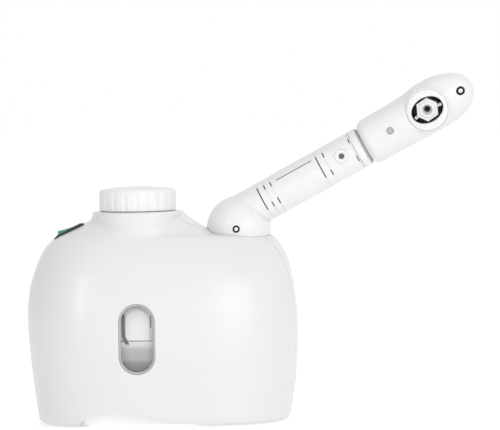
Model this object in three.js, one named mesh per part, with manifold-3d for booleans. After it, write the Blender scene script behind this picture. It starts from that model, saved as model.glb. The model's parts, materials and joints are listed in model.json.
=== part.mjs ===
// Tabletop facial steamer with a swivelling steam arm.
// Millimetres, +Z up, the front faces -Y. The origin is the centre of the base, on the table.

import * as THREE from 'three';
import { mergeVertices } from 'three/addons/utils/BufferGeometryUtils.js';
import Module from 'manifold-3d';

const wasm = await Module();
wasm.setup();

// ---------------------------------------------------------------- driving dimensions

const GAP = 0.3;
const WALL = 2.5;
const FAR = 300;

// casing
const BASE_UNDERSIDE = 1.5;
const SKIRT_BOTTOM = 0.8;
const LIP_TOP = 5;
const LIP_INSET = 9;
const DOME_TOP = 167;
const SEAM_Y = -16;
const SECTION_POINTS = 28;
const INNER_POINTS = 16;

// filler neck
const NECK_X = -18.6;
const COLLAR_RADIUS = 36.4;
const COLLAR_TOP = 168.5;
const NECK_RADIUS = 26;
const NECK_WALL = 2.5;
const NECK_TOP = 180.2;
const CAP_RADIUS = 30.8;
const CAP_BOTTOM = 169;
const CAP_EDGE = 185.4;
const CAP_TOP = 188.2;
const CAP_FLUTES = 20;

// window
const WINDOW_X = -19.5;
const WINDOW_HALF_WIDTH = 14.4;
const WINDOW_BOTTOM = 42.3;
const WINDOW_TOP = 97.8;
const WINDOW_RIM = 1.9;

// water tank
const TANK_LEFT = -54;
const TANK_RIGHT = 24;
const TANK_FRONT = -57;
const TANK_BACK = 44;
const TANK_BOTTOM = 20;
const TANK_SPLIT = 140;
const TANK_WALL = 2;
const TANK_CORNER = 10;

// boiler
const BOILER_X = 62;
const BOILER_RADIUS = 20;
const BOILER_BOTTOM = 12.3;
const BOILER_TOP = 62;
const FEED_Z = 27;

// ball elbow and arm
const BALL_X = 62;
const BALL_Z = 153.6;
const BALL_RADIUS = 25.6;
const BALL_WALL = 2.4;
const SOCKET_RADIUS = 26.2;
const ARM_ELEVATION = 28.3;
const ARM_YAW = 5;
const ARM_OFFSET = 8.4;
const TILT_DOWN = 15;
const TILT_UP = 35;
const TUBE_RADIUS = 16;
const TUBE_BORE = 13.5;
const TUBE_START = 8;
const TUBE_END = 112.5;
const RING_GROOVES = [28.8, 34.6, 40.2, 81.8, 88, 111.2];
const LINE_GROOVE_START = 45.8;
const LINE_GROOVE_END = 77.8;
const LINE_GROOVE_ANGLE = 39;
const STOP_X = 100.7;
const STOP_Z = 1.4;
const SLIDE_TRAVEL = 60;
const COLLAR_END = 118.6;
const SEAL_END = 120.4;
const INNER_RADIUS = 13;
const INNER_BORE = 10.8;

// steam head
const HEAD_START = 123;
const HEAD_TIP = 218.6;
const HEAD_ROLL = 5;
const HEAD_WALL = 2.2;
const BEZEL_X = 178;
const BEZEL_Z = 1.5;
const BEZEL_RADIUS = 16.6;
const BEZEL_FACE = -17.2;
const OPENING_LONG = 13.2;
const OPENING_SHORT = 10.2;
const NOZZLE_BORE = 4.4;

// switch on the left shoulder
const SWITCH_X = -73.7;
const SWITCH_Z = 153.3;
const SWITCH_SLOPE = 26.4;
const ROCKER_REST = 9;
const ROCKER_PIVOT_Z = -0.4;

// ---------------------------------------------------------------- materials

function plastic(color, roughness) {
  return new THREE.MeshStandardMaterial({ color, roughness, metalness: 0 });
}

function metal(color, roughness) {
  return new THREE.MeshStandardMaterial({ color, roughness, metalness: 1 });
}

const casingWhite = plastic(0xf1f1f2, 0.22);
const capWhite = plastic(0xf7f7f7, 0.3);
const armWhite = plastic(0xf0eff5, 0.2);
const partWhite = plastic(0xe9e9e9, 0.45);
const clearPlastic = new THREE.MeshStandardMaterial({
  color: 0xb9bcc0,
  roughness: 0.08,
  metalness: 0,
  transparent: true,
  opacity: 0.45,
});
const rimGrey = plastic(0xbfc1c4, 0.25);
const blackPlastic = plastic(0x15161a, 0.35);
const greenPlastic = plastic(0x1f8f4c, 0.2);
const greyPlastic = plastic(0xa9a9ab, 0.4);
const brownPlastic = plastic(0x3a2a2b, 0.5);
const blackRubber = plastic(0x222222, 0.8);
const silicone = plastic(0xdedbd4, 0.55);
const boardGreen = plastic(0x1d5a34, 0.5);
const steel = metal(0xb9bbbd, 0.3);
const darkSteel = metal(0x5b5c60, 0.35);
const castAluminium = metal(0xa4a6a9, 0.5);

// ---------------------------------------------------------------- solids

// Turns a closed geometry into a solid, with its faces pointing out.
function solid(geometry) {
  geometry.deleteAttribute('normal');
  geometry.deleteAttribute('uv');
  const merged = mergeVertices(geometry, 1e-4);
  const vertProperties = merged.attributes.position.array;
  const index = merged.index.array;
  const corner = (i) => new THREE.Vector3().fromArray(vertProperties, 3 * i);
  const kept = [];
  let volume = 0;
  for (let i = 0; i < index.length; i += 3) {
    const [a, b, c] = index.slice(i, i + 3);
    if (a === b || b === c || c === a) continue;
    kept.push(a, b, c);
    volume += corner(a).dot(corner(b).cross(corner(c)));
  }
  if (volume < 0) kept.reverse();
  const triVerts = new Uint32Array(kept);
  return new wasm.Manifold(new wasm.Mesh({ numProp: 3, vertProperties, triVerts }));
}

function toGeometry(shape) {
  const { vertProperties, triVerts } = shape.getMesh();
  const geometry = new THREE.BufferGeometry();
  geometry.setAttribute('position', new THREE.BufferAttribute(vertProperties, 3));
  geometry.setIndex(new THREE.BufferAttribute(triVerts, 1));
  geometry.computeVertexNormals();
  return geometry;
}

function box(x0, x1, y0, y1, z0, z1) {
  const geometry = new THREE.BoxGeometry(x1 - x0, y1 - y0, z1 - z0);
  return solid(geometry.translate((x0 + x1) / 2, (y0 + y1) / 2, (z0 + z1) / 2));
}

// A cylinder or cone from one point to another.
function rod(from, to, radius, endRadius = radius, segments = 16) {
  const start = new THREE.Vector3(...from);
  const end = new THREE.Vector3(...to);
  const direction = end.clone().sub(start);
  const geometry = new THREE.CylinderGeometry(endRadius, radius, direction.length(), segments);
  const turn = new THREE.Quaternion();
  turn.setFromUnitVectors(new THREE.Vector3(0, 1, 0), direction.clone().normalize());
  geometry.applyQuaternion(turn);
  const middle = start.add(end).multiplyScalar(0.5);
  return solid(geometry.translate(middle.x, middle.y, middle.z));
}

function upright(x, y, z0, z1, radius, segments = 24) {
  return rod([x, y, z0], [x, y, z1], radius, radius, segments);
}

function ball(x, y, z, radius, segments = 24) {
  return solid(new THREE.SphereGeometry(radius, segments, segments / 2).translate(x, y, z));
}

// A solid of revolution about Z from pairs of radius and height.
function turned(profile, segments = 36) {
  const points = profile.map(([radius, height]) => new THREE.Vector2(radius, height));
  return solid(new THREE.LatheGeometry(points, segments).rotateX(Math.PI / 2));
}

// The same, about X: pairs of radius and distance along X.
function turnedAlongX(profile, segments = 36) {
  const points = profile.map(([radius, along]) => new THREE.Vector2(radius, along));
  return solid(new THREE.LatheGeometry(points, segments).rotateZ(-Math.PI / 2));
}

// An outline drawn in X and Z, extruded along Y from front to back.
function throughY(shape, front, back, curveSegments = 7) {
  const geometry = new THREE.ExtrudeGeometry(shape, {
    depth: back - front,
    bevelEnabled: false,
    curveSegments,
  });
  return solid(geometry.rotateX(Math.PI / 2).translate(0, back, 0));
}

// An outline drawn in X and Y, extruded up from bottom to top.
function throughZ(shape, bottom, top, curveSegments = 8) {
  const geometry = new THREE.ExtrudeGeometry(shape, {
    depth: top - bottom,
    bevelEnabled: false,
    curveSegments,
  });
  return solid(geometry.translate(0, 0, bottom));
}

function hoseAlong(points, radius, bore, steps, segments = 12) {
  const shape = new THREE.Shape().absarc(0, 0, radius, 0, 2 * Math.PI);
  if (bore > 0) shape.holes.push(new THREE.Path().absarc(0, 0, bore, 0, 2 * Math.PI, true));
  const extrudePath = new THREE.CatmullRomCurve3(points.map((p) => new THREE.Vector3(...p)));
  return solid(new THREE.ExtrudeGeometry(shape, { steps, extrudePath, curveSegments: segments }));
}

// A closed skin over a stack of rings that all have the same number of points.
function loft(rings) {
  const count = rings[0].length;
  const positions = [];
  for (const ring of rings) {
    for (const point of ring) positions.push(point.x, point.y, point.z);
  }
  const index = [];
  for (let level = 0; level < rings.length - 1; level += 1) {
    for (let i = 0; i < count; i += 1) {
      const a = level * count + i;
      const b = level * count + ((i + 1) % count);
      index.push(a, b, b + count, a, b + count, a + count);
    }
  }
  for (const level of [0, rings.length - 1]) {
    const middle = new THREE.Vector3();
    for (const point of rings[level]) middle.addScaledVector(point, 1 / count);
    const hub = positions.length / 3;
    positions.push(middle.x, middle.y, middle.z);
    for (let i = 0; i < count; i += 1) {
      const a = level * count + i;
      const b = level * count + ((i + 1) % count);
      if (level === 0) index.push(b, a, hub);
      else index.push(a, b, hub);
    }
  }
  const geometry = new THREE.BufferGeometry();
  geometry.setAttribute('position', new THREE.BufferAttribute(new Float32Array(positions), 3));
  geometry.setIndex(index);
  return solid(geometry);
}

// A smooth curve through [position, value] pairs that doesn't overshoot between them.
function smooth(pairs) {
  const slope = (i) => (pairs[i + 1][1] - pairs[i][1]) / (pairs[i + 1][0] - pairs[i][0]);
  const tangents = pairs.map((pair, i) => {
    if (i === 0) return slope(0);
    if (i === pairs.length - 1) return slope(i - 1);
    const before = slope(i - 1);
    const after = slope(i);
    return before * after <= 0 ? 0 : (2 * before * after) / (before + after);
  });
  return (position) => {
    const last = pairs.length - 1;
    if (position <= pairs[0][0]) return pairs[0][1];
    if (position >= pairs[last][0]) return pairs[last][1];
    const i = pairs.findIndex((pair) => pair[0] > position) - 1;
    const span = pairs[i + 1][0] - pairs[i][0];
    const t = (position - pairs[i][0]) / span;
    const rise = pairs[i][1] * (1 + 2 * t) + t * span * tangents[i];
    const fall = pairs[i + 1][1] * (3 - 2 * t) - (1 - t) * span * tangents[i + 1];
    return rise * (1 - t) * (1 - t) + fall * t * t;
  };
}

function superellipse(angle, halfWidth, halfDepth, power) {
  const c = Math.cos(angle);
  const s = Math.sin(angle);
  return [
    halfWidth * Math.sign(c) * Math.abs(c) ** (2 / power),
    halfDepth * Math.sign(s) * Math.abs(s) ** (2 / power),
  ];
}

const steamer = new THREE.Group();

function add(name, shape, material, parent = steamer) {
  const mesh = new THREE.Mesh(toGeometry(shape), material);
  mesh.name = name;
  parent.add(mesh);
}

// A cross-head screw along +Y: its head's outer face is at `face`, its tip at `tip`.
function screw(x, z, face, tip, headRadius, shankRadius) {
  const headDepth = 0.8 * headRadius;
  let shape = rod([x, face, z], [x, face + headDepth, z], headRadius, headRadius * 0.7, 10);
  shape = shape.add(rod([x, face + headDepth / 2, z], [x, tip, z], shankRadius, shankRadius, 6));
  const arm = 0.65 * headRadius;
  const slot = 0.16 * headRadius;
  const deep = face + 0.4 * headRadius;
  shape = shape.subtract(box(x - arm, x + arm, face - 1, deep, z - slot, z + slot));
  return shape.subtract(box(x - slot, x + slot, face - 1, deep, z - arm, z + arm));
}

// ---------------------------------------------------------------- casing surfaces

const leftEdge = smooth([
  [0, -100.3], [9, -101.6], [33, -104.7], [63, -107.5], [85, -108.6], [106, -106.9],
  [120, -102.9], [137, -95.6], [147.5, -86.2], [153, -75], [159.5, -61.4], [163, -55], [167, -51],
]);
const rightEdge = smooth([
  [0, 100.3], [9, 101.8], [37, 106.3], [76, 108.1], [104, 105.9], [125, 101.8], [139, 95.7],
  [145, 91.4], [147.4, 88], [148.6, 78], [149.4, 60], [150.3, 46.5], [155, 34.8],
  [162.8, 22.9], [167, 17.4],
]);
const frontDepth = smooth([
  [0, 64.4], [54, 65], [60, 64.9], [80, 63.6], [100, 61.2], [118, 56.6], [132, 49.4],
  [141, 42.8], [148, 36.6], [156, 29], [162, 22.5], [167, 16],
]);
const backDepth = smooth([
  [0, 63.5], [40, 65], [80, 64.2], [100, 62.3], [118, 58.4], [132, 52], [141, 45.5],
  [148, 39], [156, 30.5], [162, 23], [167, 16],
]);
// The widest line of the casing runs behind the middle and comes forward at the top.
const waistY = smooth([[0, 10], [110, 10], [150, 2], [167, 0]]);
const squareness = smooth([[0, 2.8], [100, 2.7], [167, 2.3]]);
// Where the front and back reach furthest: the middle below, under the filler neck above.
const ridgeX = smooth([[0, -0.4], [104, -0.4], [146, NECK_X], [167, NECK_X]]);

// One level of the casing, drawn in by `inset` all round and placed at height `z`.
function casingRing(z, inset, sampledAt = z, points = SECTION_POINTS) {
  const left = leftEdge(sampledAt) + inset;
  const right = rightEdge(sampledAt) - inset;
  const ridge = ridgeX(sampledAt);
  const waist = waistY(sampledAt);
  const ring = [];
  for (let i = 0; i < points; i += 1) {
    const angle = (2 * Math.PI * i) / points;
    const isFront = Math.sin(angle) < 0;
    const depth = isFront ? frontDepth(sampledAt) + waist : backDepth(sampledAt) - waist;
    const halfWidth = Math.cos(angle) < 0 ? ridge - left : right - ridge;
    const [x, y] = superellipse(angle, halfWidth, depth - inset, squareness(sampledAt));
    ring.push(new THREE.Vector3(ridge + x, waist + y, z));
  }
  return ring;
}

const UPPER_LEVELS = [
  7, 55, 60, 84, 106, 121, 132, 140.5, 145.6, 148.2, 149.8, 153, 159, DOME_TOP,
];
const INNER_LEVELS = [40, 88, 112, 130, 142, 148.4, 150, 158];

const outerRings = [[SKIRT_BOTTOM, 3.6], [2.4, 1.4]].map(([z, inset]) => casingRing(z, inset));
const collarOuter = turned([
  [0, 132], [COLLAR_RADIUS, 132], [COLLAR_RADIUS, COLLAR_TOP - 2.2],
  [COLLAR_RADIUS - 0.7, COLLAR_TOP - 0.6], [COLLAR_RADIUS - 2.2, COLLAR_TOP], [0, COLLAR_TOP],
], 32);
const casingOuter = loft([...outerRings, ...UPPER_LEVELS.map((z) => casingRing(z, 0))])
  .add(collarOuter.translate(NECK_X, 0, 0));

// The same dome drawn in by `inset`, from `bottom` up, without the filler collar.
function domeInside(inset, bottom) {
  const rings = INNER_LEVELS.map((z) => casingRing(z - inset, inset, z, INNER_POINTS));
  return loft([casingRing(bottom, inset, bottom, INNER_POINTS), ...rings]);
}

const collarInner = turned([
  [0, 130], [COLLAR_RADIUS - WALL, 130], [COLLAR_RADIUS - WALL, COLLAR_TOP - WALL],
  [0, COLLAR_TOP - WALL],
], 16);
const casingInner = domeInside(WALL, LIP_TOP).add(collarInner.translate(NECK_X, 0, 0));

// ---------------------------------------------------------------- casing parts

// An upright capsule outline.
function capsule(centreX, bottom, top, halfWidth) {
  const shape = new THREE.Shape();
  shape.absarc(centreX, top - halfWidth, halfWidth, 0, Math.PI);
  shape.absarc(centreX, bottom + halfWidth, halfWidth, Math.PI, 2 * Math.PI);
  return shape;
}

// The wavy cut in the front skirt, open at the bottom and grown by `margin`.
function archCut(margin) {
  const shape = new THREE.Shape();
  shape.moveTo(-69 - margin, -5);
  shape.lineTo(-69 - margin, 0.4);
  shape.bezierCurveTo(-64 - margin, 4.4, -62, 11.6 + margin, -44, 11.6 + margin);
  shape.bezierCurveTo(-14, 11.6 + margin, 8, 2.8, 44 + margin, 0.4);
  shape.lineTo(44 + margin, -5);
  return shape;
}

const archThrough = throughY(archCut(0), -FAR, -46);
const windowOutline = capsule(WINDOW_X, WINDOW_BOTTOM, WINDOW_TOP, WINDOW_HALF_WIDTH);
const windowCut = throughY(windowOutline, -FAR, -40);
const lipOpening = loft([-1, LIP_TOP + 1].map((z) => casingRing(z, LIP_INSET, 3, INNER_POINTS)));
const socket = ball(BALL_X, 0, BALL_Z, SOCKET_RADIUS, 24);
const neckBore = upright(NECK_X, 0, 160, 175, NECK_RADIUS + 1, 24);

const switchGroup = new THREE.Group();
switchGroup.position.set(SWITCH_X, 0, SWITCH_Z);
switchGroup.rotation.y = THREE.MathUtils.degToRad(-SWITCH_SLOPE);

function inSwitchPlace(shape) {
  return shape.rotate([0, -SWITCH_SLOPE, 0]).translate(SWITCH_X, 0, SWITCH_Z);
}

// The rest for the flange of the switch, and the opening for its body.
const switchSeat = inSwitchPlace(
  box(-13.3, 13.3, -9.8, 9.8, -1, 30).add(box(-10.9, 10.9, -7.2, 7.2, -25, 0)),
);

let casing = casingOuter.subtract(casingInner);
for (const cut of [lipOpening, windowCut, archThrough, socket, neckBore, switchSeat]) {
  casing = casing.subtract(cut);
}

const frontHalf = box(-FAR, FAR, -FAR, SEAM_Y - GAP / 2, -FAR, FAR);
const rearHalf = box(-FAR, FAR, SEAM_Y + GAP / 2, FAR, -FAR, FAR);

// Posts inside the casing that take the base screws, each joined to the wall by a rib.
const BASE_SCREWS = [[-76, -25], [75, -25], [-36, 46], [36, 46]];
const POST_TOP = 18.5;
const POST_BOTTOM = 9.6;

function basePost([x, y]) {
  const post = upright(x, y, POST_BOTTOM, POST_TOP, 5, 10);
  const sideways = y < 0;
  const rib = sideways
    ? box(Math.min(x, x * 1.6), Math.max(x, x * 1.6), y - 1.2, y + 1.2, POST_BOTTOM, POST_TOP)
    : box(x - 1.2, x + 1.2, y, FAR, POST_BOTTOM, POST_TOP);
  const pilot = upright(x, y, POST_BOTTOM - 1, POST_TOP - 2, 1.8, 8);
  return post.add(rib).intersect(casingOuter).subtract(pilot);
}

// Bosses that hold the two shells together: a deep one behind the seam, a short one in front.
const SHELL_SCREWS = [[-84, 36], [89, 36], [-79, 116], [83, 112]];
const SHELL_SCREW_HEAD_Y = -6;

let frontShell = casing.intersect(frontHalf);
let rearShell = casing.intersect(rearHalf);
for (const place of BASE_SCREWS) {
  const post = basePost(place);
  if (place[1] < 0) frontShell = frontShell.add(post.intersect(frontHalf));
  else rearShell = rearShell.add(post.intersect(rearHalf));
}
for (const [x, z] of SHELL_SCREWS) {
  const tube = rod([x, -42, z], [x, FAR, z], 5.4, 5.4, 8).intersect(casingOuter);
  frontShell = frontShell.add(tube.intersect(frontHalf));
  rearShell = rearShell.add(tube.intersect(rearHalf));
  rearShell = rearShell.subtract(rod([x, SHELL_SCREW_HEAD_Y, z], [x, FAR, z], 4, 4, 8));
  rearShell = rearShell.subtract(rod([x, -20, z], [x, 0, z], 1.9, 1.9, 6));
  frontShell = frontShell.subtract(rod([x, -34, z], [x, 0, z], 1.9, 1.9, 6));
}

// A shelf inside the rear shell that carries the swivel bearing.
const SHELF_TOP = 119.7;
const shelfScrews = [[51, 30], [73, 30]];
let shelf = box(44, 80, 22, FAR, SHELF_TOP - 3, SHELF_TOP).intersect(casingOuter);
for (const [x, y] of shelfScrews) {
  shelf = shelf.subtract(upright(x, y, SHELF_TOP - 9, SHELF_TOP + 1, 1.8, 8));
}
rearShell = rearShell.add(shelf);

// Cord gland at the back, right of the middle and near the base.
const GLAND_X = 40;
const GLAND_Z = 25;
const GLAND_SEAT_Y = 62.4;
const glandHole = rod([GLAND_X, 50, GLAND_Z], [GLAND_X, 80, GLAND_Z], 6, 6, 16);
const glandSeat = rod([GLAND_X, GLAND_SEAT_Y, GLAND_Z], [GLAND_X, 80, GLAND_Z], 9.3, 9.3, 16);
rearShell = rearShell.subtract(glandHole).subtract(glandSeat);

// Notches in the lip for the round screw bosses of the base plate.
const BOSS_RADIUS = 6;
for (const [x, y] of BASE_SCREWS) {
  const notch = upright(x, y, -5, POST_BOTTOM - 0.2, BOSS_RADIUS + 2 * GAP, 10);
  rearShell = rearShell.subtract(notch);
  frontShell = frontShell.subtract(notch);
}

add('front_shell', frontShell, casingWhite);
add('rear_shell', rearShell, casingWhite);

const glandStep = GLAND_SEAT_Y + GAP;
let gland = rod([GLAND_X, 57, GLAND_Z], [GLAND_X, glandStep, GLAND_Z], 5.7, 5.7, 16);
gland = gland.add(rod([GLAND_X, glandStep, GLAND_Z], [GLAND_X, 65.4, GLAND_Z], 9, 7.2, 16));
gland = gland.subtract(rod([GLAND_X, 50, GLAND_Z], [GLAND_X, 70, GLAND_Z], 3.7, 3.7, 12));
add('cord_gland', gland, blackRubber);

// Base plate: a shallow tray in the opening of the lip, with a scoop behind the wavy skirt.
const TRAY_TOP = 9;
const TRAY_FLOOR = 4.5;
const FEET = [[-64, -33], [64, -33], [-66, 38], [66, 38]];
const trayFoot = loft([
  casingRing(BASE_UNDERSIDE, LIP_INSET + GAP, 3, INNER_POINTS),
  casingRing(LIP_TOP + GAP, LIP_INSET + GAP, 3, INNER_POINTS),
]);
const trayRim = loft([
  casingRing(LIP_TOP + GAP, WALL + 1.2, 7, INNER_POINTS),
  casingRing(TRAY_TOP, WALL + 1.2, 9, INNER_POINTS),
]);
const scoop = throughY(archCut(1.2), -FAR, -47);
const scoopCover = throughY(archCut(3.8), -FAR, -44.4);
const trayPocket = loft([
  casingRing(TRAY_FLOOR, LIP_INSET + 3, 3, INNER_POINTS),
  casingRing(TRAY_TOP + 1, LIP_INSET + 3, 3, INNER_POINTS),
]).subtract(scoopCover);
let basePlate = trayFoot.add(trayRim).subtract(trayPocket);
basePlate = basePlate.add(scoopCover.intersect(loft([
  casingRing(BASE_UNDERSIDE, LIP_INSET + GAP, 3, INNER_POINTS),
  casingRing(LIP_TOP + GAP, LIP_INSET + GAP, 3, INNER_POINTS),
  casingRing(LIP_TOP + 2 * GAP, WALL + 1.2, 7, INNER_POINTS),
  casingRing(POST_TOP, WALL + 1.2, 18, INNER_POINTS),
])));
for (const [x, y] of BASE_SCREWS) {
  basePlate = basePlate.add(upright(x, y, BASE_UNDERSIDE + 1, TRAY_TOP, BOSS_RADIUS, 10));
  basePlate = basePlate.subtract(upright(x, y, 0, BASE_UNDERSIDE + 3.6, 3.8, 12));
  basePlate = basePlate.subtract(upright(x, y, 0, TRAY_TOP + 1, 1.9, 8));
}
const HEATER_POSTS = [0, 1, 2].map((i) => (2 * Math.PI * i) / 3);
for (const angle of HEATER_POSTS) {
  const x = BOILER_X + 15 * Math.cos(angle);
  const y = 15 * Math.sin(angle);
  basePlate = basePlate.add(upright(x, y, TRAY_FLOOR - 1, 7.7, 3.5, 8));
}
for (const [x, y] of FEET) {
  basePlate = basePlate.subtract(upright(x, y, 0, BASE_UNDERSIDE + 1.5, 5.8, 16));
}
add('base_plate', basePlate.subtract(scoop), partWhite);

FEET.forEach(([x, y], i) => {
  const foot = rod([x, y, 0], [x, y, BASE_UNDERSIDE + 1.5 - GAP], 4.9, 5.4, 16);
  add(`foot_${i + 1}`, foot, blackRubber);
});

// Lays a screw made by screw() so that it points up from below at (x, y).
function screwUp(x, y, face, tip, headRadius, shankRadius) {
  return screw(0, 0, face, tip, headRadius, shankRadius).rotate([90, 0, 0]).translate(x, y, 0);
}

BASE_SCREWS.forEach(([x, y], i) => {
  add(`base_screw_${i + 1}`, screwUp(x, y, 1.9, 15, 3.4, 1.6), steel);
});
SHELL_SCREWS.forEach(([x, z], i) => {
  const shape = screw(x, z, 0, 26, 3.4, 1.6);
  const turnedRound = shape.translate(-x, 0, -z).rotate([0, 0, 180]);
  add(`shell_screw_${i + 1}`, turnedRound.translate(x, SHELL_SCREW_HEAD_Y + 3.2, z), steel);
});

// Window: a rim and a clear lens that follow the curve of the front.
function onFront(shape, outerInset, innerInset) {
  const outer = loft(UPPER_LEVELS.slice(0, 6).map((z) => casingRing(z, outerInset)));
  const inner = loft([-5, ...UPPER_LEVELS.slice(0, 7)].map((z) => casingRing(z, innerInset)));
  return throughY(shape, -FAR, 0, 10).intersect(outer).subtract(inner);
}

const rimHalf = WINDOW_HALF_WIDTH - GAP;
const lensHalf = WINDOW_HALF_WIDTH - WINDOW_RIM;
const rimOutline = capsule(WINDOW_X, WINDOW_BOTTOM + GAP, WINDOW_TOP - GAP, rimHalf);
const rimShrink = WINDOW_RIM - GAP;
rimOutline.holes.push(
  capsule(WINDOW_X, WINDOW_BOTTOM + GAP + rimShrink, WINDOW_TOP - GAP - rimShrink, rimHalf - rimShrink),
);
add('window_rim', onFront(rimOutline, 0.3, 3.4), rimGrey);
const lensOutline = capsule(
  WINDOW_X, WINDOW_BOTTOM + WINDOW_RIM + GAP, WINDOW_TOP - WINDOW_RIM - GAP, lensHalf - GAP,
);
add('window_lens', onFront(lensOutline, 1, 3.2), clearPlastic);

// ---------------------------------------------------------------- water tank and filler

function roundedRectangle(x0, x1, y0, y1, corner) {
  const shape = new THREE.Shape();
  shape.absarc(x1 - corner, y1 - corner, corner, 0, Math.PI / 2);
  shape.absarc(x0 + corner, y1 - corner, corner, Math.PI / 2, Math.PI);
  shape.absarc(x0 + corner, y0 + corner, corner, Math.PI, 1.5 * Math.PI);
  shape.absarc(x1 - corner, y0 + corner, corner, 1.5 * Math.PI, 2 * Math.PI);
  return shape;
}

// The tank fills its block wherever the dome leaves room for it.
function tankBlock(inset, bottom, top) {
  const outline = roundedRectangle(
    TANK_LEFT + inset, TANK_RIGHT - inset, TANK_FRONT + inset, TANK_BACK - inset, TANK_CORNER - inset,
  );
  const room = domeInside(WALL + 4 + inset, LIP_TOP);
  return throughZ(outline, bottom, top, 4).intersect(room);
}

let tank = tankBlock(0, TANK_BOTTOM, TANK_SPLIT);
tank = tank.subtract(tankBlock(TANK_WALL, TANK_BOTTOM + TANK_WALL, TANK_SPLIT + 1));
tank = tank.add(rod([TANK_RIGHT - 1, 0, FEED_Z], [31, 0, FEED_Z], 4.5, 4.5, 16));
tank = tank.subtract(rod([TANK_RIGHT - 8, 0, FEED_Z], [33, 0, FEED_Z], 2.9, 2.9, 16));
add('water_tank', tank, clearPlastic);

const tankGasket = tankBlock(0.3, TANK_SPLIT + GAP, TANK_SPLIT + 1.3);
add('tank_gasket', tankGasket.subtract(tankBlock(TANK_WALL, TANK_SPLIT, TANK_SPLIT + 2)), silicone);

let tankLid = tankBlock(0, TANK_SPLIT + 1.6, TANK_SPLIT + 4);
tankLid = tankLid.add(upright(NECK_X, 0, TANK_SPLIT + 1.6, NECK_TOP, NECK_RADIUS, 28));
// One raised turn near the mouth stands for the thread of the cap.
tankLid = tankLid.add(upright(NECK_X, 0, 174, 175.4, NECK_RADIUS + 0.8, 28));
tankLid = tankLid.subtract(upright(NECK_X, 0, 130, 190, NECK_RADIUS - NECK_WALL, 24));
add('tank_lid', tankLid, clearPlastic);

const neckGasket = turned([
  [NECK_RADIUS + GAP, 163], [NECK_RADIUS + 5, 163], [NECK_RADIUS + 5, 165.7],
  [NECK_RADIUS + GAP, 165.7], [NECK_RADIUS + GAP, 163],
], 24);
add('neck_gasket', neckGasket.translate(NECK_X, 0, 0), silicone);

// The cap: a rounded top over a fluted skirt.
let cap = turned([
  [0, CAP_BOTTOM], [CAP_RADIUS - 0.8, CAP_BOTTOM], [CAP_RADIUS, CAP_BOTTOM + 0.8],
  [CAP_RADIUS, CAP_EDGE - 2.2], [CAP_RADIUS - 0.7, CAP_EDGE - 0.7], [CAP_RADIUS - 2.4, CAP_EDGE + 0.3],
  [CAP_RADIUS - 14, CAP_EDGE + 2.2], [0, CAP_TOP],
], 28);
cap = cap.subtract(upright(0, 0, CAP_BOTTOM - 1, 182, NECK_RADIUS + 1.5, 20));
for (let i = 0; i < CAP_FLUTES; i += 1) {
  const angle = (2 * Math.PI * i) / CAP_FLUTES;
  const reach = CAP_RADIUS + 0.55;
  const x = reach * Math.cos(angle);
  const y = reach * Math.sin(angle);
  cap = cap.subtract(upright(x, y, CAP_BOTTOM - 1, CAP_EDGE - 3.4, 1.1, 4));
}
add('filler_cap', cap.translate(NECK_X, 0, 0), capWhite);

const capSeal = turned([
  [NECK_RADIUS - 3.4, NECK_TOP + GAP], [NECK_RADIUS + 1.1, NECK_TOP + GAP],
  [NECK_RADIUS + 1.1, NECK_TOP + 1.5], [NECK_RADIUS - 3.4, NECK_TOP + 1.5],
  [NECK_RADIUS - 3.4, NECK_TOP + GAP],
], 24);
add('cap_seal', capSeal.translate(NECK_X, 0, 0), silicone);

// ---------------------------------------------------------------- boiler

let heater = upright(BOILER_X, 0, 8, 12, BOILER_RADIUS + 1, 24);
for (const y of [-7, 7]) {
  heater = heater.add(rod([BOILER_X + 18, y, 10], [BOILER_X + 22, y, 10], 1.5, 1.5, 8));
}
add('heater_base', heater, castAluminium);

const boilerWall = 1.6;
let boilerCup = upright(BOILER_X, 0, BOILER_BOTTOM, BOILER_TOP, BOILER_RADIUS, 24);
boilerCup = boilerCup.add(rod([36, 0, FEED_Z], [BOILER_X - 15, 0, FEED_Z], 4.5, 4.5, 16));
boilerCup = boilerCup.subtract(
  upright(BOILER_X, 0, BOILER_BOTTOM + boilerWall, BOILER_TOP + 1, BOILER_RADIUS - boilerWall),
);
boilerCup = boilerCup.subtract(rod([34, 0, FEED_Z], [BOILER_X, 0, FEED_Z], 2.9, 2.9, 16));
add('boiler_cup', boilerCup, steel);

let boilerLid = turned([
  [0, BOILER_TOP + GAP], [BOILER_RADIUS + 1, BOILER_TOP + GAP], [BOILER_RADIUS + 1, BOILER_TOP + 3],
  [12, BOILER_TOP + 6], [5, BOILER_TOP + 8], [5, BOILER_TOP + 20], [0, BOILER_TOP + 20],
], 24);
boilerLid = boilerLid.subtract(upright(0, 0, BOILER_TOP - 1, BOILER_TOP + 25, 3.2, 16));
add('boiler_lid', boilerLid.translate(BOILER_X, 0, 0), partWhite);

const feedHose = rod([TANK_RIGHT + 1.6, 0, FEED_Z], [41, 0, FEED_Z], 6.6, 6.6, 20);
add('feed_hose', feedHose.subtract(rod([20, 0, FEED_Z], [45, 0, FEED_Z], 4.85, 4.85, 20)), silicone);

// Thermostat and thermal fuse, strapped against the side of the boiler.
const boilerBack = BOILER_RADIUS + GAP;
const canEnd = boilerBack + 6;
let thermostat = rod([BOILER_X, boilerBack, 30], [BOILER_X, canEnd, 30], 8, 8, 24);
thermostat = thermostat.add(rod([BOILER_X, canEnd - 1, 30], [BOILER_X, canEnd + 3, 30], 5.5, 5.5, 20));
add('thermostat', thermostat, darkSteel);
const fuseY = boilerBack + 2.2;
add('thermal_fuse', rod([BOILER_X - 9, fuseY, 48], [BOILER_X + 9, fuseY, 48], 2, 2, 14), partWhite);

// Control board against the back of the rear shell.
let board = box(32, 78, 46, 47.6, 62, 98);
board = board.add(box(38, 50, 40, 46.5, 68, 80));
board = board.add(box(58, 72, 38, 46.5, 84, 94));
board = board.add(rod([66, 37, 72], [66, 46.5, 72], 5, 5, 20));
add('control_board', board, boardGreen);

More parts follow.
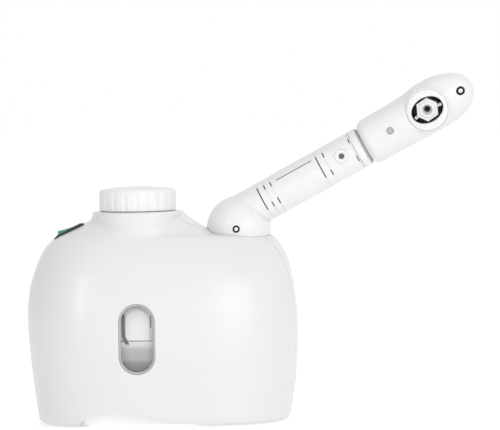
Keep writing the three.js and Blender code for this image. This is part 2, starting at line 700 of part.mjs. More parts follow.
// ---------------------------------------------------------------- arm swivel

const BEARING_TOP = 123.4;
let bearing = turned([
  [0, 92], [4.9, 92], [4.9, 101], [12.4, 105], [12.4, SHELF_TOP + GAP], [17, SHELF_TOP + GAP],
  [17, BEARING_TOP], [0, BEARING_TOP],
], 20).translate(BALL_X, 0, 0);
bearing = bearing.add(box(45, 79, 0, 35, SHELF_TOP + GAP, BEARING_TOP));
bearing = bearing.subtract(upright(BALL_X, 0, 106.4, 130, 8.4, 20));
bearing = bearing.subtract(upright(BALL_X, 0, 90, 110, 3.2, 16));
for (const [x, y] of shelfScrews) {
  bearing = bearing.subtract(upright(x, y, 110, 130, 1.9, 8));
  bearing = bearing.subtract(upright(x, y, BEARING_TOP - 2.9, 130, 3.3, 12));
}
add('swivel_bearing', bearing, partWhite);
shelfScrews.forEach(([x, y], i) => {
  const shape = screw(0, 0, 0, 9.6, 3, 1.5).rotate([-90, 0, 0]);
  add(`bearing_screw_${i + 1}`, shape.translate(x, y, BEARING_TOP - GAP), steel);
});

const steamHose = hoseAlong([
  [BOILER_X, 0, BOILER_TOP + 12], [BOILER_X, 0, BOILER_TOP + 19], [BALL_X, 0, 94], [BALL_X, 0, 100],
], 7.3, 5.6, 5, 6);
add('steam_hose', steamHose, silicone);

// The yoke turns in the bearing; its two ears reach up to the tilt axis inside the ball.
const cavity = BALL_RADIUS - BALL_WALL;
const EAR_INNER = 15.9;
const EAR_OUTER = 18.6;

function aboutTilt(shape) {
  return shape.translate(-BALL_X, 0, -BALL_Z).rotate([0, 0, -ARM_YAW]).translate(BALL_X, 0, BALL_Z);
}

let yoke = box(BALL_X - 6.5, BALL_X + 6.5, -EAR_OUTER, EAR_OUTER, BALL_Z - 21, BALL_Z);
yoke = yoke.subtract(box(BALL_X - 8, BALL_X + 8, -EAR_INNER, EAR_INNER, BALL_Z - 13, BALL_Z + 8));
for (const side of [-1, 1]) {
  const inner = side * EAR_INNER;
  const outer = side * EAR_OUTER;
  yoke = yoke.add(rod([BALL_X, inner, BALL_Z], [BALL_X, outer, BALL_Z], 6.5, 6.5, 24));
}
yoke = aboutTilt(yoke).intersect(ball(BALL_X, 0, BALL_Z, cavity - 1.8, 20));
yoke = yoke.add(upright(BALL_X, 0, 107, BALL_Z - 17, 7.9, 20));
yoke = yoke.add(upright(BALL_X, 0, BEARING_TOP + GAP, BEARING_TOP + 2.3, 12, 20));
yoke = yoke.subtract(upright(BALL_X, 0, 100, BALL_Z - 10, 5, 14));
yoke = yoke.subtract(aboutTilt(rod([BALL_X, -30, BALL_Z], [BALL_X, 30, BALL_Z], 1.9, 1.9, 12)));
add('swivel_yoke', yoke, partWhite);

const retainer = turned([
  [8.5, BEARING_TOP + 2.6], [12.5, BEARING_TOP + 2.6], [12.5, BEARING_TOP + GAP],
  [16, BEARING_TOP + GAP], [16, BEARING_TOP + 3.4], [12, BEARING_TOP + 4.3], [8.5, BEARING_TOP + 4.3],
  [8.5, BEARING_TOP + 2.6],
], 20);
add('swivel_retainer', retainer.translate(BALL_X, 0, 0), partWhite);

// ---------------------------------------------------------------- arm

// Inside this group X runs out along the arm, Z is up and Y points away from the front.
// Its origin is the centre of the ball; the tube's own axis lies ARM_OFFSET above it.
const arm = new THREE.Group();
arm.position.set(BALL_X, 0, BALL_Z);
arm.rotation.set(0, THREE.MathUtils.degToRad(-ARM_ELEVATION), THREE.MathUtils.degToRad(-ARM_YAW), 'ZYX');

const tube = new THREE.Group();
tube.position.z = ARM_OFFSET;
arm.add(tube);

// The slot that the yoke's stem needs while the arm tilts.
function stemSlot() {
  const stemReach = 24;
  const down = 270 - ARM_ELEVATION;
  const first = THREE.MathUtils.degToRad(down - TILT_UP - stemReach);
  const last = THREE.MathUtils.degToRad(down + TILT_DOWN + stemReach);
  const sector = new THREE.Shape();
  sector.absarc(0, 0, BALL_RADIUS + 5, first, last);
  sector.lineTo(0, 0);
  return throughY(sector, -8.7, 8.7, 6);
}

function elbowHalf(side) {
  let half = ball(0, 0, 0, BALL_RADIUS, 24).subtract(ball(0, 0, 0, cavity, 16));
  half = half.add(rod([0, side * (EAR_OUTER + 0.5), 0], [0, side * (cavity + 0.5), 0], 5, 5, 20));
  const face = [0, side * (BALL_RADIUS - 2.9), 0];
  half = half.subtract(rod(face, [0, side * 30, 0], 3.4, 3.4, 24));
  half = half.subtract(rod([0, 0, 0], [0, side * 30, 0], 1.9, 1.9, 12));
  const tubeHole = TUBE_RADIUS + GAP;
  half = half.subtract(rod([0, 0, ARM_OFFSET], [50, 0, ARM_OFFSET], tubeHole, tubeHole, 20));
  half = half.subtract(stemSlot());
  const near = side < 0 ? box(-40, 40, -40, -0.15, -40, 40) : box(-40, 40, 0.15, 40, -40, 40);
  return half.intersect(near);
}

add('elbow_front', elbowHalf(-1), armWhite, arm);
add('elbow_rear', elbowHalf(1), armWhite, arm);
const pivotScrew = screw(0, 0, -(BALL_RADIUS - 0.35), -EAR_INNER + 0.5, 3.1, 1.6);
add('pivot_screw_front', pivotScrew, darkSteel, arm);
add('pivot_screw_rear', pivotScrew.rotate([0, 0, 180]), darkSteel, arm);

// Outer tube, with shallow rings turned into it.
const RING_DEPTH = 0.55;
const RING_HALF = 0.45;
const tubeProfile = [[TUBE_BORE, TUBE_START], [TUBE_RADIUS, TUBE_START]];
for (const x of RING_GROOVES) {
  tubeProfile.push([TUBE_RADIUS, x - RING_HALF], [TUBE_RADIUS - RING_DEPTH, x]);
  tubeProfile.push([TUBE_RADIUS, x + RING_HALF]);
}
tubeProfile.push([TUBE_RADIUS, TUBE_END], [TUBE_BORE, TUBE_END], [TUBE_BORE, TUBE_START]);
let outerTube = turnedAlongX(tubeProfile, 20);
outerTube = outerTube.subtract(ball(0, 0, -ARM_OFFSET, 21.5, 16));
const lineGroove = box(
  LINE_GROOVE_START, LINE_GROOVE_END, -TUBE_RADIUS - 1, -TUBE_RADIUS + 0.6, -0.35, 0.35,
);
outerTube = outerTube.subtract(lineGroove.rotate([-LINE_GROOVE_ANGLE, 0, 0]));
outerTube = outerTube.subtract(rod([STOP_X, -20, STOP_Z], [STOP_X, -11, STOP_Z], 5.6, 5.6, 24));
add('arm_tube', outerTube, armWhite, tube);

let stopBoss = rod([STOP_X, -16.8, STOP_Z], [STOP_X, -13.6, STOP_Z], 5.3, 5.3, 24);
stopBoss = stopBoss.subtract(rod([STOP_X, -18, STOP_Z], [STOP_X, -12, STOP_Z], 2.1, 2.1, 14));
add('stop_boss', stopBoss, capWhite, tube);
let stopScrew = rod([STOP_X, -16.3, STOP_Z], [STOP_X, -12.2, STOP_Z], 1.8, 1.8, 14);
stopScrew = stopScrew.subtract(
  box(STOP_X - 1.3, STOP_X + 1.3, -17, -15.7, STOP_Z - 0.3, STOP_Z + 0.3),
);
add('stop_screw', stopScrew, darkSteel, tube);

const tubeCollar = turnedAlongX([
  [TUBE_BORE, TUBE_END + GAP], [TUBE_RADIUS + 0.1, TUBE_END + GAP],
  [TUBE_RADIUS + 0.1, COLLAR_END - 0.7], [TUBE_RADIUS - 0.6, COLLAR_END],
  [TUBE_BORE, COLLAR_END], [TUBE_BORE, TUBE_END + GAP],
], 24);
add('tube_collar', tubeCollar, capWhite, tube);
const tubeSeal = turnedAlongX([
  [INNER_RADIUS + GAP, COLLAR_END + GAP], [TUBE_RADIUS - 0.8, COLLAR_END + GAP],
  [TUBE_RADIUS - 0.8, SEAL_END], [INNER_RADIUS + GAP, SEAL_END], [INNER_RADIUS + GAP, COLLAR_END + GAP],
], 24);
add('tube_seal', tubeSeal, blackRubber, tube);

// Inner tube: slides in the outer one, and its flange is held in the root of the head.
const FLANGE_START = 126.6;
const FLANGE_END = 128.6;
const INNER_START = 32;
const INNER_END = 134;
let innerTube = turnedAlongX([
  [INNER_BORE, INNER_START], [INNER_RADIUS, INNER_START], [INNER_RADIUS, FLANGE_START],
  [INNER_RADIUS + 1.9, FLANGE_START], [INNER_RADIUS + 1.9, FLANGE_END], [INNER_RADIUS, FLANGE_END],
  [INNER_RADIUS, INNER_END], [INNER_BORE, INNER_END], [INNER_BORE, INNER_START],
], 20);
const keyEnd = STOP_X + 2.4;
innerTube = innerTube.subtract(
  box(keyEnd - SLIDE_TRAVEL - 5, keyEnd, -14, -11.8, STOP_Z - 2.3, STOP_Z + 2.3),
);
add('inner_tube', innerTube, armWhite, tube);

// ---------------------------------------------------------------- steam head

const head = new THREE.Group();
head.rotation.x = THREE.MathUtils.degToRad(HEAD_ROLL);
tube.add(head);

const headTop = smooth([
  [HEAD_START, 17.6], [124, 18.7], [126, 19.1], [156, 19.7], [165, 20.4], [177, 22.4], [186, 22.5],
  [194, 21.6], [203, 19.2], [210, 15.8], [215, 11.6], [HEAD_TIP - 0.6, 5.6], [HEAD_TIP, 2.4],
]);
const headBottom = smooth([
  [HEAD_START, -16.6], [124, -17.7], [126, -18.2], [159, -18.3], [172, -18.9], [185, -18.9],
  [197, -17.8], [206, -14.8], [212, -11], [216, -6.6], [HEAD_TIP - 0.6, -2], [HEAD_TIP, 0.4],
]);
const headDepth = smooth([
  [HEAD_START, 16.9], [124, 18], [126, 18.4], [150, 17.9], [177, 16.6], [192, 15.4], [203, 13.4],
  [210, 10.9], [215, 7.8], [HEAD_TIP - 0.6, 3.4], [HEAD_TIP, 1.2],
]);

function headRing(x, inset, count = 20) {
  const top = headTop(x) - inset;
  const bottom = headBottom(x) + inset;
  const ring = [];
  for (let i = 0; i < count; i += 1) {
    const angle = (2 * Math.PI * i) / count;
    const [z, y] = superellipse(angle, (top - bottom) / 2, headDepth(x) - inset, 2.25);
    ring.push(new THREE.Vector3(x, y, (top + bottom) / 2 + z));
  }
  return ring;
}

const HEAD_LEVELS = [
  HEAD_START, 124, 126, 160, 177, 190, 200, 207.5, 213, 216.8, HEAD_TIP,
];
const HEAD_HOLLOW_LEVELS = [160, 177, 192, 203, 209];
const headOuter = loft(HEAD_LEVELS.map((x) => headRing(x, 0)));
const headRoot = HEAD_START + 3;
const headInner = loft([headRoot, ...HEAD_HOLLOW_LEVELS].map((x) => headRing(x, HEAD_WALL, 12)));

// The flat round land on the face of the head that the bezel sits in.
const LAND_RADIUS = BEZEL_RADIUS + 1.3;
const land = rod([BEZEL_X, -4, BEZEL_Z], [BEZEL_X, -16.6, BEZEL_Z], LAND_RADIUS, LAND_RADIUS, 24);
const rib = rod([FLANGE_END + 0.4, 0, 0], [FLANGE_END + 2.8, 0, 0], 25, 25, 16);
const TIP_SCREW_X = 208.2;
const TIP_SCREW_Z = 1.6;
const TIP_SCREW_FACE = -11.4;
const PLUG_X = 144.5;
const PLUG_Z = 1.8;

let headShell = headOuter.subtract(headInner).add(rib.intersect(headOuter)).add(land.subtract(headInner));
const tipBoss = rod([TIP_SCREW_X, -16, TIP_SCREW_Z], [TIP_SCREW_X, 16, TIP_SCREW_Z], 4.6, 4.6, 12);
headShell = headShell.add(tipBoss.intersect(headOuter));
const headCuts = [
  rod([120, 0, 0], [132, 0, 0], INNER_RADIUS + 0.4, INNER_RADIUS + 0.4, 20),
  rod([BEZEL_X, -40, BEZEL_Z], [BEZEL_X, -8, BEZEL_Z], BEZEL_RADIUS + GAP, BEZEL_RADIUS + GAP, 24),
  rod([TIP_SCREW_X, -30, TIP_SCREW_Z], [TIP_SCREW_X, TIP_SCREW_FACE + 2.8, TIP_SCREW_Z], 3.6, 3.6, 12),
  rod([TIP_SCREW_X, -30, TIP_SCREW_Z], [TIP_SCREW_X, 6, TIP_SCREW_Z], 1.8, 1.8, 8),
  rod([PLUG_X, -30, PLUG_Z], [PLUG_X, -10, PLUG_Z], 3, 3, 14),
];
for (const cut of headCuts) headShell = headShell.subtract(cut);
add('head_front', headShell.intersect(box(100, 240, -40, -0.15, -40, 40)), casingWhite, head);
add('head_rear', headShell.intersect(box(100, 240, 0.15, 40, -40, 40)), casingWhite, head);
add('head_screw', screw(TIP_SCREW_X, TIP_SCREW_Z, TIP_SCREW_FACE, 4, 3.3, 1.5), darkSteel, head);
const plug = rod([PLUG_X, -17.4, PLUG_Z], [PLUG_X, -12.6, PLUG_Z], 2.7, 2.7, 20);
add('head_plug', plug, greyPlastic, head);

// Bezel with an oval opening.
const outlet = new THREE.Group();
outlet.position.set(BEZEL_X, 0, BEZEL_Z);
head.add(outlet);

const oval = new THREE.Shape().absellipse(0, 0, OPENING_LONG, OPENING_SHORT, 0, 2 * Math.PI);
const bezelEdge = BEZEL_FACE + 1;
let bezel = rod([0, -11, 0], [0, bezelEdge, 0], BEZEL_RADIUS, BEZEL_RADIUS, 24);
bezel = bezel.add(rod([0, bezelEdge, 0], [0, BEZEL_FACE, 0], BEZEL_RADIUS, BEZEL_RADIUS - 1.4, 24));
add('nozzle_bezel', bezel.subtract(throughY(oval, -30, 0, 10)), capWhite, outlet);

// Dark cup behind the opening.
const CUP_BACK = 2;
let cup = rod([0, -10.7, 0], [0, CUP_BACK, 0], 14.4, 13.6, 20);
cup = cup.subtract(rod([0, -12, 0], [0, CUP_BACK - 1.4, 0], 13.3, 12.4, 20));
cup = cup.subtract(rod([0, -5, 0], [0, 10, 0], 6, 6, 20));
add('nozzle_cup', cup, brownPlastic, outlet);

// Nozzle tip: a six-sided stub with a round bore and two fins that reach out to the cup.
let nozzle = rod([0, CUP_BACK - 1.8, 0], [0, -12.4, 0], 9.9, 9.5, 6).rotate([0, 24, 0]);
nozzle = nozzle.add(rod([0, -12.4, 0], [0, -13.5, 0], 6.6, 5.9, 20));
nozzle = nozzle.add(rod([0, CUP_BACK + 1.2, 0], [0, CUP_BACK - 2, 0], 5.6, 5.6, 20));
for (const degrees of [8, 171]) {
  nozzle = nozzle.add(box(7, 12, -10.4, -1, -1.3, 1.3).rotate([0, degrees, 0]));
}
nozzle = nozzle.subtract(rod([0, -20, 0], [0, 10, 0], NOZZLE_BORE, NOZZLE_BORE, 20));
add('nozzle_tip', nozzle, capWhite, outlet);

// Duct from the inner tube round to the back of the nozzle.
const duct = hoseAlong([
  [INNER_END + 1, 0, 0], [144, 0.5, 0], [156, 4, 0], [166, 8.3, 0.5], [174.5, 8.8, 1],
  [177.6, 6.6, BEZEL_Z], [BEZEL_X, CUP_BACK + 2.4, BEZEL_Z],
], 4.6, 3.2, 9, 4);
add('steam_duct', duct, silicone, head);

// ---------------------------------------------------------------- power switch

// The flange slopes down to its two ends.
const flange = new THREE.Shape([
  [-12.9, -0.7], [12.9, -0.7], [12.9, 0.4], [10, 1.6], [-10, 1.6], [-12.9, 0.4],
].map(([x, z]) => new THREE.Vector2(x, z)));
let housing = throughY(flange, -9.4, 9.4).add(box(-10.6, 10.6, -6.9, 6.9, -16, 0));
housing = housing.subtract(box(-9.6, 9.6, -5.7, 5.7, -10.6, 3));
add('switch_housing', housing, blackPlastic, switchGroup);

// The rocker's ends are arcs about its pivot, so it clears the housing as it tips.
const ROCKER_REACH = 9.2;
const rockerShape = new THREE.Shape();
const rockerTop = THREE.MathUtils.degToRad(22);
const rockerFoot = THREE.MathUtils.degToRad(-20);
const rockerEndX = ROCKER_REACH * Math.cos(rockerTop);
const rockerEndZ = ROCKER_REACH * Math.sin(rockerTop);
rockerShape.absarc(0, 0, ROCKER_REACH, rockerFoot, rockerTop);
rockerShape.quadraticCurveTo(0, 2.2, -rockerEndX, rockerEndZ);
rockerShape.absarc(0, 0, ROCKER_REACH, Math.PI - rockerTop, Math.PI - rockerFoot);
rockerShape.lineTo(-3, -6);
rockerShape.lineTo(3, -6);
const rocker = throughY(rockerShape, -5.3, 5.3, 6).rotate([0, ROCKER_REST, 0]);
add('power_rocker', rocker.translate(0, 0, ROCKER_PIVOT_Z), greenPlastic, switchGroup);

steamer.add(switchGroup, arm);

export default steamer;
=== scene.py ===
"""Looks for the tabletop facial steamer: smooth casing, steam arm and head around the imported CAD.

Lengths are written in millimetres and become metres where a mesh is made."""

import json
import math

import bmesh
import bpy
import numpy as np
from mathutils import Matrix, Vector


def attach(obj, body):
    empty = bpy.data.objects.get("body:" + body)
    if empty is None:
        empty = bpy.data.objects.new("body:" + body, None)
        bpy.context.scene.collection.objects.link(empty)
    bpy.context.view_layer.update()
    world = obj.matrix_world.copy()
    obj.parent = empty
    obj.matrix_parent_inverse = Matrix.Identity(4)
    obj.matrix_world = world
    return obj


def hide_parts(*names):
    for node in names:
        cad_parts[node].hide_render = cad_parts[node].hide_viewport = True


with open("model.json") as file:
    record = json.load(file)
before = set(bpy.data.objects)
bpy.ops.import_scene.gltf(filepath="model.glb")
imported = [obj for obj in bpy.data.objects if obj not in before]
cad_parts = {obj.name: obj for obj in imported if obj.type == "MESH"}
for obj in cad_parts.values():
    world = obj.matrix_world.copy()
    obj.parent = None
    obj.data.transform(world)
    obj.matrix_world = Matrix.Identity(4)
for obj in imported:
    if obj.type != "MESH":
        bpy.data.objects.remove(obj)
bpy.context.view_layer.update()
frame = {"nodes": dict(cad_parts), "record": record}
NODE_BODY = {node: body for body, nodes in frame["record"]["behaviour"]["bodies"].items() for node in nodes}
NODE_SLOT = {row["node"]: row["material_slot"] for row in frame["record"]["subparts"]}

MM = 0.001
FAR = 300.0
GAP = 0.3
WALL = 2.5
SCRAP_CORNERS = 6

# casing
SKIRT_BOTTOM = 0.8
SKIRT_ROUND = (3.6, 5.0)
LIP_INSET = 9.0
LIP_ROOM = LIP_INSET + GAP
SEAM_Y = -16.0
NECK_X = -18.6
COLLAR_RADIUS = 36.4
COLLAR_TOP = 168.5
NECK_RADIUS = 26.0
NECK_TOP = 180.2
CAP_RADIUS = 30.8
CAP_BOTTOM = 169.0
CAP_EDGE = 185.4
CAP_TOP = 188.2
CAP_FLUTES, FLUTE_DEPTH = 20, 0.7
CAP_BORE, CAP_CEILING = NECK_RADIUS + 1.5, 182

# window
WINDOW_X = -19.5
WINDOW_HALF = 14.4
WINDOW_BOTTOM = 42.3
WINDOW_TOP = 97.8
RIM_OUTER = WINDOW_HALF - GAP
RIM_INNER = WINDOW_HALF - 1.9

# ball elbow and arm
BALL = (62.0, 0.0, 153.6)
BALL_RADIUS = 25.6
SOCKET_RADIUS = 26.2
ARM_ELEVATION = 28.3
ARM_YAW = 5.0
ARM_OFFSET = 8.4
TILT_DOWN = 15.0
TILT_UP = 35.0
TUBE_RADIUS = 16.0
TUBE_BORE = 13.5
TUBE_START = 8.0
TUBE_END = 112.5
RING_GROOVES = (28.8, 34.6, 40.2, 81.8, 88.0, 111.2)
STOP_X = 100.7
STOP_Z = 1.4
COLLAR_END = 118.6
SEAL_END = 120.4
INNER_RADIUS = 13.0
INNER_BORE = 10.8
SLIDE_TRAVEL = 60.0

# steam head
HEAD_START = 123.0
HEAD_TIP = 218.6
HEAD_ROLL = 5.0
HEAD_WALL = 2.2
BEZEL_X = 178.0
BEZEL_Z = 1.5
BEZEL_RADIUS = 16.6
BEZEL_FACE = -17.2
OPENING_LONG = 13.2
OPENING_SHORT = 10.2
NOZZLE_BORE, NOZZLE_THROAT = 4.4, 2.6
CUP_BACK = 2.0
TIP_SCREW = (208.2, -11.4, 1.6)
PLUG = (144.5, -17.4, 1.8)

# switch
SWITCH = (-73.7, 0.0, 153.3)
SWITCH_SLOPE = 26.4
ROCKER_REST = 9.0
ROCKER_PIVOT_Z = -0.4
ROCKER_REACH = 9.2
ROCKER_DIP = 2.2

ARM_PLACE = (
    Matrix.Translation(Vector(BALL) * MM)
    @ Matrix.Rotation(math.radians(-ARM_YAW), 4, "Z")
    @ Matrix.Rotation(math.radians(-ARM_ELEVATION), 4, "Y")
)
TUBE_PLACE = ARM_PLACE @ Matrix.Translation((0, 0, ARM_OFFSET * MM))
HEAD_PLACE = TUBE_PLACE @ Matrix.Rotation(math.radians(HEAD_ROLL), 4, "X")
SWITCH_PLACE = Matrix.Translation(Vector(SWITCH) * MM) @ Matrix.Rotation(math.radians(-SWITCH_SLOPE), 4, "Y")


def at(x, y, z):
    return Matrix.Translation((x * MM, y * MM, z * MM))


# ---- solids


def solid(points, faces):
    """A mesh object from points in millimetres, with its faces pointing out."""
    points = np.asarray(points, float)
    volume = 0.0
    for face in faces:
        fan = points[list(face)]
        volume += np.einsum("ij,ij->", np.cross(fan[1:-1], fan[2:]), np.tile(fan[0], (len(face) - 2, 1)))
    if volume < 0:
        faces = [tuple(reversed(face)) for face in faces]
    mesh = bpy.data.meshes.new("solid")
    mesh.from_pydata((points * MM).tolist(), [], faces)
    made = bpy.data.objects.new("solid", mesh)
    bpy.context.scene.collection.objects.link(made)
    return made


def ring_faces(levels, count, loop=False):
    faces = []
    for level in range(levels if loop else levels - 1):
        for i in range(count):
            j = (i + 1) % count
            a, b = level * count, ((level + 1) % levels) * count
            faces.append((a + i, a + j, b + j, b + i))
    return faces


def loft(rings, loop=False):
    """A closed skin over rings of points; with loop the last ring joins the first."""
    rings = [np.asarray(ring, float) for ring in rings]
    count = len(rings[0])
    points = np.concatenate(rings)
    faces = ring_faces(len(rings), count, loop)
    if not loop:
        last = (len(rings) - 1) * count
        hubs = np.array([rings[0].mean(0), rings[-1].mean(0)])
        first_hub = len(points)
        points = np.concatenate([points, hubs])
        for i in range(count):
            j = (i + 1) % count
            faces.append((j, i, first_hub))
            faces.append((last + i, last + j, first_hub + 1))
    return solid(points, faces)


def around(count):
    return np.arange(count) * 2 * math.pi / count


def level_ring(radius, angle, height, middle=(0, 0)):
    """Points round a middle at one height; the radius may change with the angle."""
    x, y = middle[0] + radius * np.cos(angle), middle[1] + radius * np.sin(angle)
    return np.stack([x, y, np.full(len(angle), float(height))], 1)


def lathe(profile, segments, axis="Z"):
    """A solid of revolution from (radius, height) pairs; a profile that ends where it starts is a ring."""
    loop = profile[0] == profile[-1]
    pairs = profile[:-1] if loop else profile
    order = {"Z": (0, 1, 2), "X": (2, 0, 1), "Y": (1, 2, 0)}[axis]
    rings = [level_ring(max(radius, 0.01), around(segments), height)[:, order] for radius, height in pairs]
    return loft(rings, loop)


def rounded(corners, steps=4):
    """A polyline with each corner (x, y, radius) rounded; a corner with no radius stays sharp."""
    line = []
    for i, corner in enumerate(corners):
        radius = corner[2] if len(corner) > 2 else 0
        here = np.array(corner[:2], float)
        if radius == 0 or i in (0, len(corners) - 1):
            line.append(tuple(here))
            continue
        before = np.array(corners[i - 1][:2], float) - here
        after = np.array(corners[i + 1][:2], float) - here
        before /= np.linalg.norm(before)
        after /= np.linalg.norm(after)
        half = math.acos(np.clip(before @ after, -1, 1)) / 2
        reach = radius / math.tan(half)
        bisector = (before + after) / np.linalg.norm(before + after)
        middle = here + bisector * radius / math.sin(half)
        start = here + before * reach - middle
        end = here + after * reach - middle
        sweep = math.atan2(start[0] * end[1] - start[1] * end[0], start @ end)
        for k in range(steps + 1):
            c, s = math.cos(sweep * k / steps), math.sin(sweep * k / steps)
            line.append((middle[0] + c * start[0] - s * start[1], middle[1] + s * start[0] + c * start[1]))
    return line


def turned(corners, segments=96, axis="Z"):
    """A solid of revolution with rounded corners."""
    return lathe(rounded(corners), segments, axis)


def washer(corners, segments=96, axis="Z"):
    """A ring with rounded corners, whose first corner stays sharp."""
    return turned([*corners, corners[0][:2]], segments, axis)


def flat_ring(inner, outer, low, high, *corners):
    """A ring of square section; its first corner is sharp, and the other three have these radii."""
    lower, upper, inner_upper = corners
    return washer([(inner, low), (outer, low, lower), (outer, high, upper), (inner, high, inner_upper)])


def prism(outline, start, end, axis="Y"):
    """An outline extruded along Y (given in X and Z) or along Z (given in X and Y)."""
    rings = [[(u, level, v) if axis == "Y" else (u, v, level) for u, v in outline] for level in (start, end)]
    count = len(outline)
    faces = ring_faces(2, count) + [tuple(range(count - 1, -1, -1)), tuple(range(count, 2 * count))]
    return solid(np.concatenate(np.array(rings, float)), faces)


def box(x0, x1, y0, y1, z0, z1):
    return prism([(x0, z0), (x1, z0), (x1, z1), (x0, z1)], y0, y1)


def rod(axis, first, second, start, end, radius, end_radius=None, segments=48):
    """A round bar or a cone along one axis; first and second are its place on the other two axes."""
    place = {"X": (2, 0, 1), "Y": (0, 2, 1), "Z": (0, 1, 2)}[axis]
    start, end = (np.array((first, second, level), float)[list(place)] for level in (start, end))
    direction = (end - start) / np.linalg.norm(end - start)
    side = np.cross(direction, (0, 0, 1) if abs(direction[2]) < 0.9 else (1, 0, 0))
    side /= np.linalg.norm(side)
    other = np.cross(direction, side)
    angle = around(segments)[:, None]
    circle = np.cos(angle) * side + np.sin(angle) * other
    return loft([start + radius * circle, end + (radius if end_radius is None else end_radius) * circle])


def ball(centre, radius, segments):
    steps = segments // 2
    turns = [math.pi * k / steps for k in range(steps + 1)]
    made = lathe([(radius * math.sin(turn), -radius * math.cos(turn)) for turn in turns], segments)
    return moved(made, at(*centre))


def bake(obj):
    graph = bpy.context.evaluated_depsgraph_get()
    mesh = bpy.data.meshes.new_from_object(obj.evaluated_get(graph))
    obj.modifiers.clear()
    obj.data = mesh
    return obj


def drop_scraps(mesh):
    """Removes the flat scraps of a few corners that a cut can leave loose."""
    form = bmesh.new()
    form.from_mesh(mesh)
    unseen = set(form.verts)
    scraps = []
    while unseen:
        island, front_line = [], [unseen.pop()]
        while front_line:
            corner = front_line.pop()
            island.append(corner)
            for edge in corner.link_edges:
                other = edge.other_vert(corner)
                if other in unseen:
                    unseen.remove(other)
                    front_line.append(other)
        if len(island) < SCRAP_CORNERS:
            scraps += island
    if scraps:
        bmesh.ops.delete(form, geom=scraps, context="VERTS")
        form.to_mesh(mesh)
    form.free()


def combine(operation, base, others):
    for other in others:
        modifier = base.modifiers.new("combine", "BOOLEAN")
        modifier.operation = operation
        modifier.solver = "MANIFOLD"
        modifier.object = other
    bake(base)
    for other in others:
        bpy.data.objects.remove(other)
    return base


def cut(base, *others):
    return combine("DIFFERENCE", base, others)


def join(base, *others):
    return combine("UNION", base, others)


def common(base, *others):
    return combine("INTERSECT", base, others)


def copy_of(obj):
    twin = obj.copy()
    twin.data = obj.data.copy()
    bpy.context.scene.collection.objects.link(twin)
    return twin


def moved(obj, place):
    obj.data.transform(place)
    return obj


def turned_by(obj, degrees, axis):
    return moved(obj, Matrix.Rotation(math.radians(degrees), 4, axis))


def soften(obj, width):
    """Rounds the sharp edges."""
    modifier = obj.modifiers.new("soften", "BEVEL")
    modifier.width = width * MM
    modifier.segments = 3
    modifier.limit_method = "ANGLE"
    modifier.angle_limit = math.radians(40)
    return bake(obj)


def smooth(pairs):
    """A smooth curve through (position, value) pairs that doesn't overshoot between them."""
    xs = np.array([p[0] for p in pairs], float)
    ys = np.array([p[1] for p in pairs], float)
    slopes = np.diff(ys) / np.diff(xs)
    product = slopes[:-1] * slopes[1:]
    total = slopes[:-1] + slopes[1:]
    middle = np.where(product <= 0, 0, 2 * product / np.where(total == 0, 1, total))
    tangents = np.concatenate([[slopes[0]], middle, [slopes[-1]]])

    def value(position):
        at_x = np.clip(position, xs[0], xs[-1])
        i = np.clip(np.searchsorted(xs, at_x, side="right") - 1, 0, len(xs) - 2)
        span = xs[i + 1] - xs[i]
        t = (at_x - xs[i]) / span
        rise = ys[i] * (1 + 2 * t) + t * span * tangents[i]
        fall = ys[i + 1] * (3 - 2 * t) - (1 - t) * span * tangents[i + 1]
        return rise * (1 - t) ** 2 + fall * t**2

    return value


# ---- materials


def principled(name):
    material = bpy.data.materials.new(name)
    material.use_nodes = True
    tree = material.node_tree
    shader = next(n for n in tree.nodes if n.type == "BSDF_PRINCIPLED")
    return material, tree, shader


def link(tree, a, b):
    tree.links.new(a, b)


def noise(tree, scale, detail=3.0):
    """Noise over the object's own coordinates, so it moves with the piece. Scale is per metre."""
    coordinates = tree.nodes.new("ShaderNodeTexCoord")
    texture = tree.nodes.new("ShaderNodeTexNoise")
    texture.inputs["Scale"].default_value = scale
    texture.inputs["Detail"].default_value = detail
    link(tree, coordinates.outputs["Object"], texture.inputs["Vector"])
    return texture.outputs["Fac"]


def remap(tree, value, *limits):
    """Takes a value from the range of the first two limits to that of the last two."""
    node = tree.nodes.new("ShaderNodeMapRange")
    for name, limit in zip(("From Min", "From Max", "To Min", "To Max"), limits):
        node.inputs[name].default_value = limit
    link(tree, value, node.inputs["Value"])
    return node.outputs["Result"]


def spread(tree, value, low, high):
    """Stretches noise, which mostly lies between 0.3 and 0.7, over a range."""
    return remap(tree, value, 0.3, 0.7, low, high)


def mixed(tree, factor, first, second):
    """A colour between two, each of them a plain colour or another node's output."""
    node = tree.nodes.new("ShaderNodeMix")
    node.data_type = "RGBA"
    link(tree, factor, node.inputs["Factor"])
    for socket, value in (("A", first), ("B", second)):
        if isinstance(value, bpy.types.NodeSocket):
            link(tree, value, node.inputs[socket])
        else:
            node.inputs[socket].default_value = (*value, 1)
    return node.outputs["Result"]


def surface(tree, shader, color, roughness, drift, gloss, relief):
    """Colour that drifts to a darker shade, uneven gloss and relief, each driven by its own noise."""
    pattern, dark = drift
    shades = mixed(tree, spread(tree, pattern, 0, 1), color, [c * dark for c in color])
    link(tree, shades, shader.inputs["Base Color"])
    pattern, low, high = gloss
    link(tree, spread(tree, pattern, roughness * low, roughness * high), shader.inputs["Roughness"])
    bump = tree.nodes.new("ShaderNodeBump")
    pattern, bump.inputs["Strength"].default_value, bump.inputs["Distance"].default_value = relief
    link(tree, pattern, bump.inputs["Height"])
    link(tree, bump.outputs["Normal"], shader.inputs["Normal"])


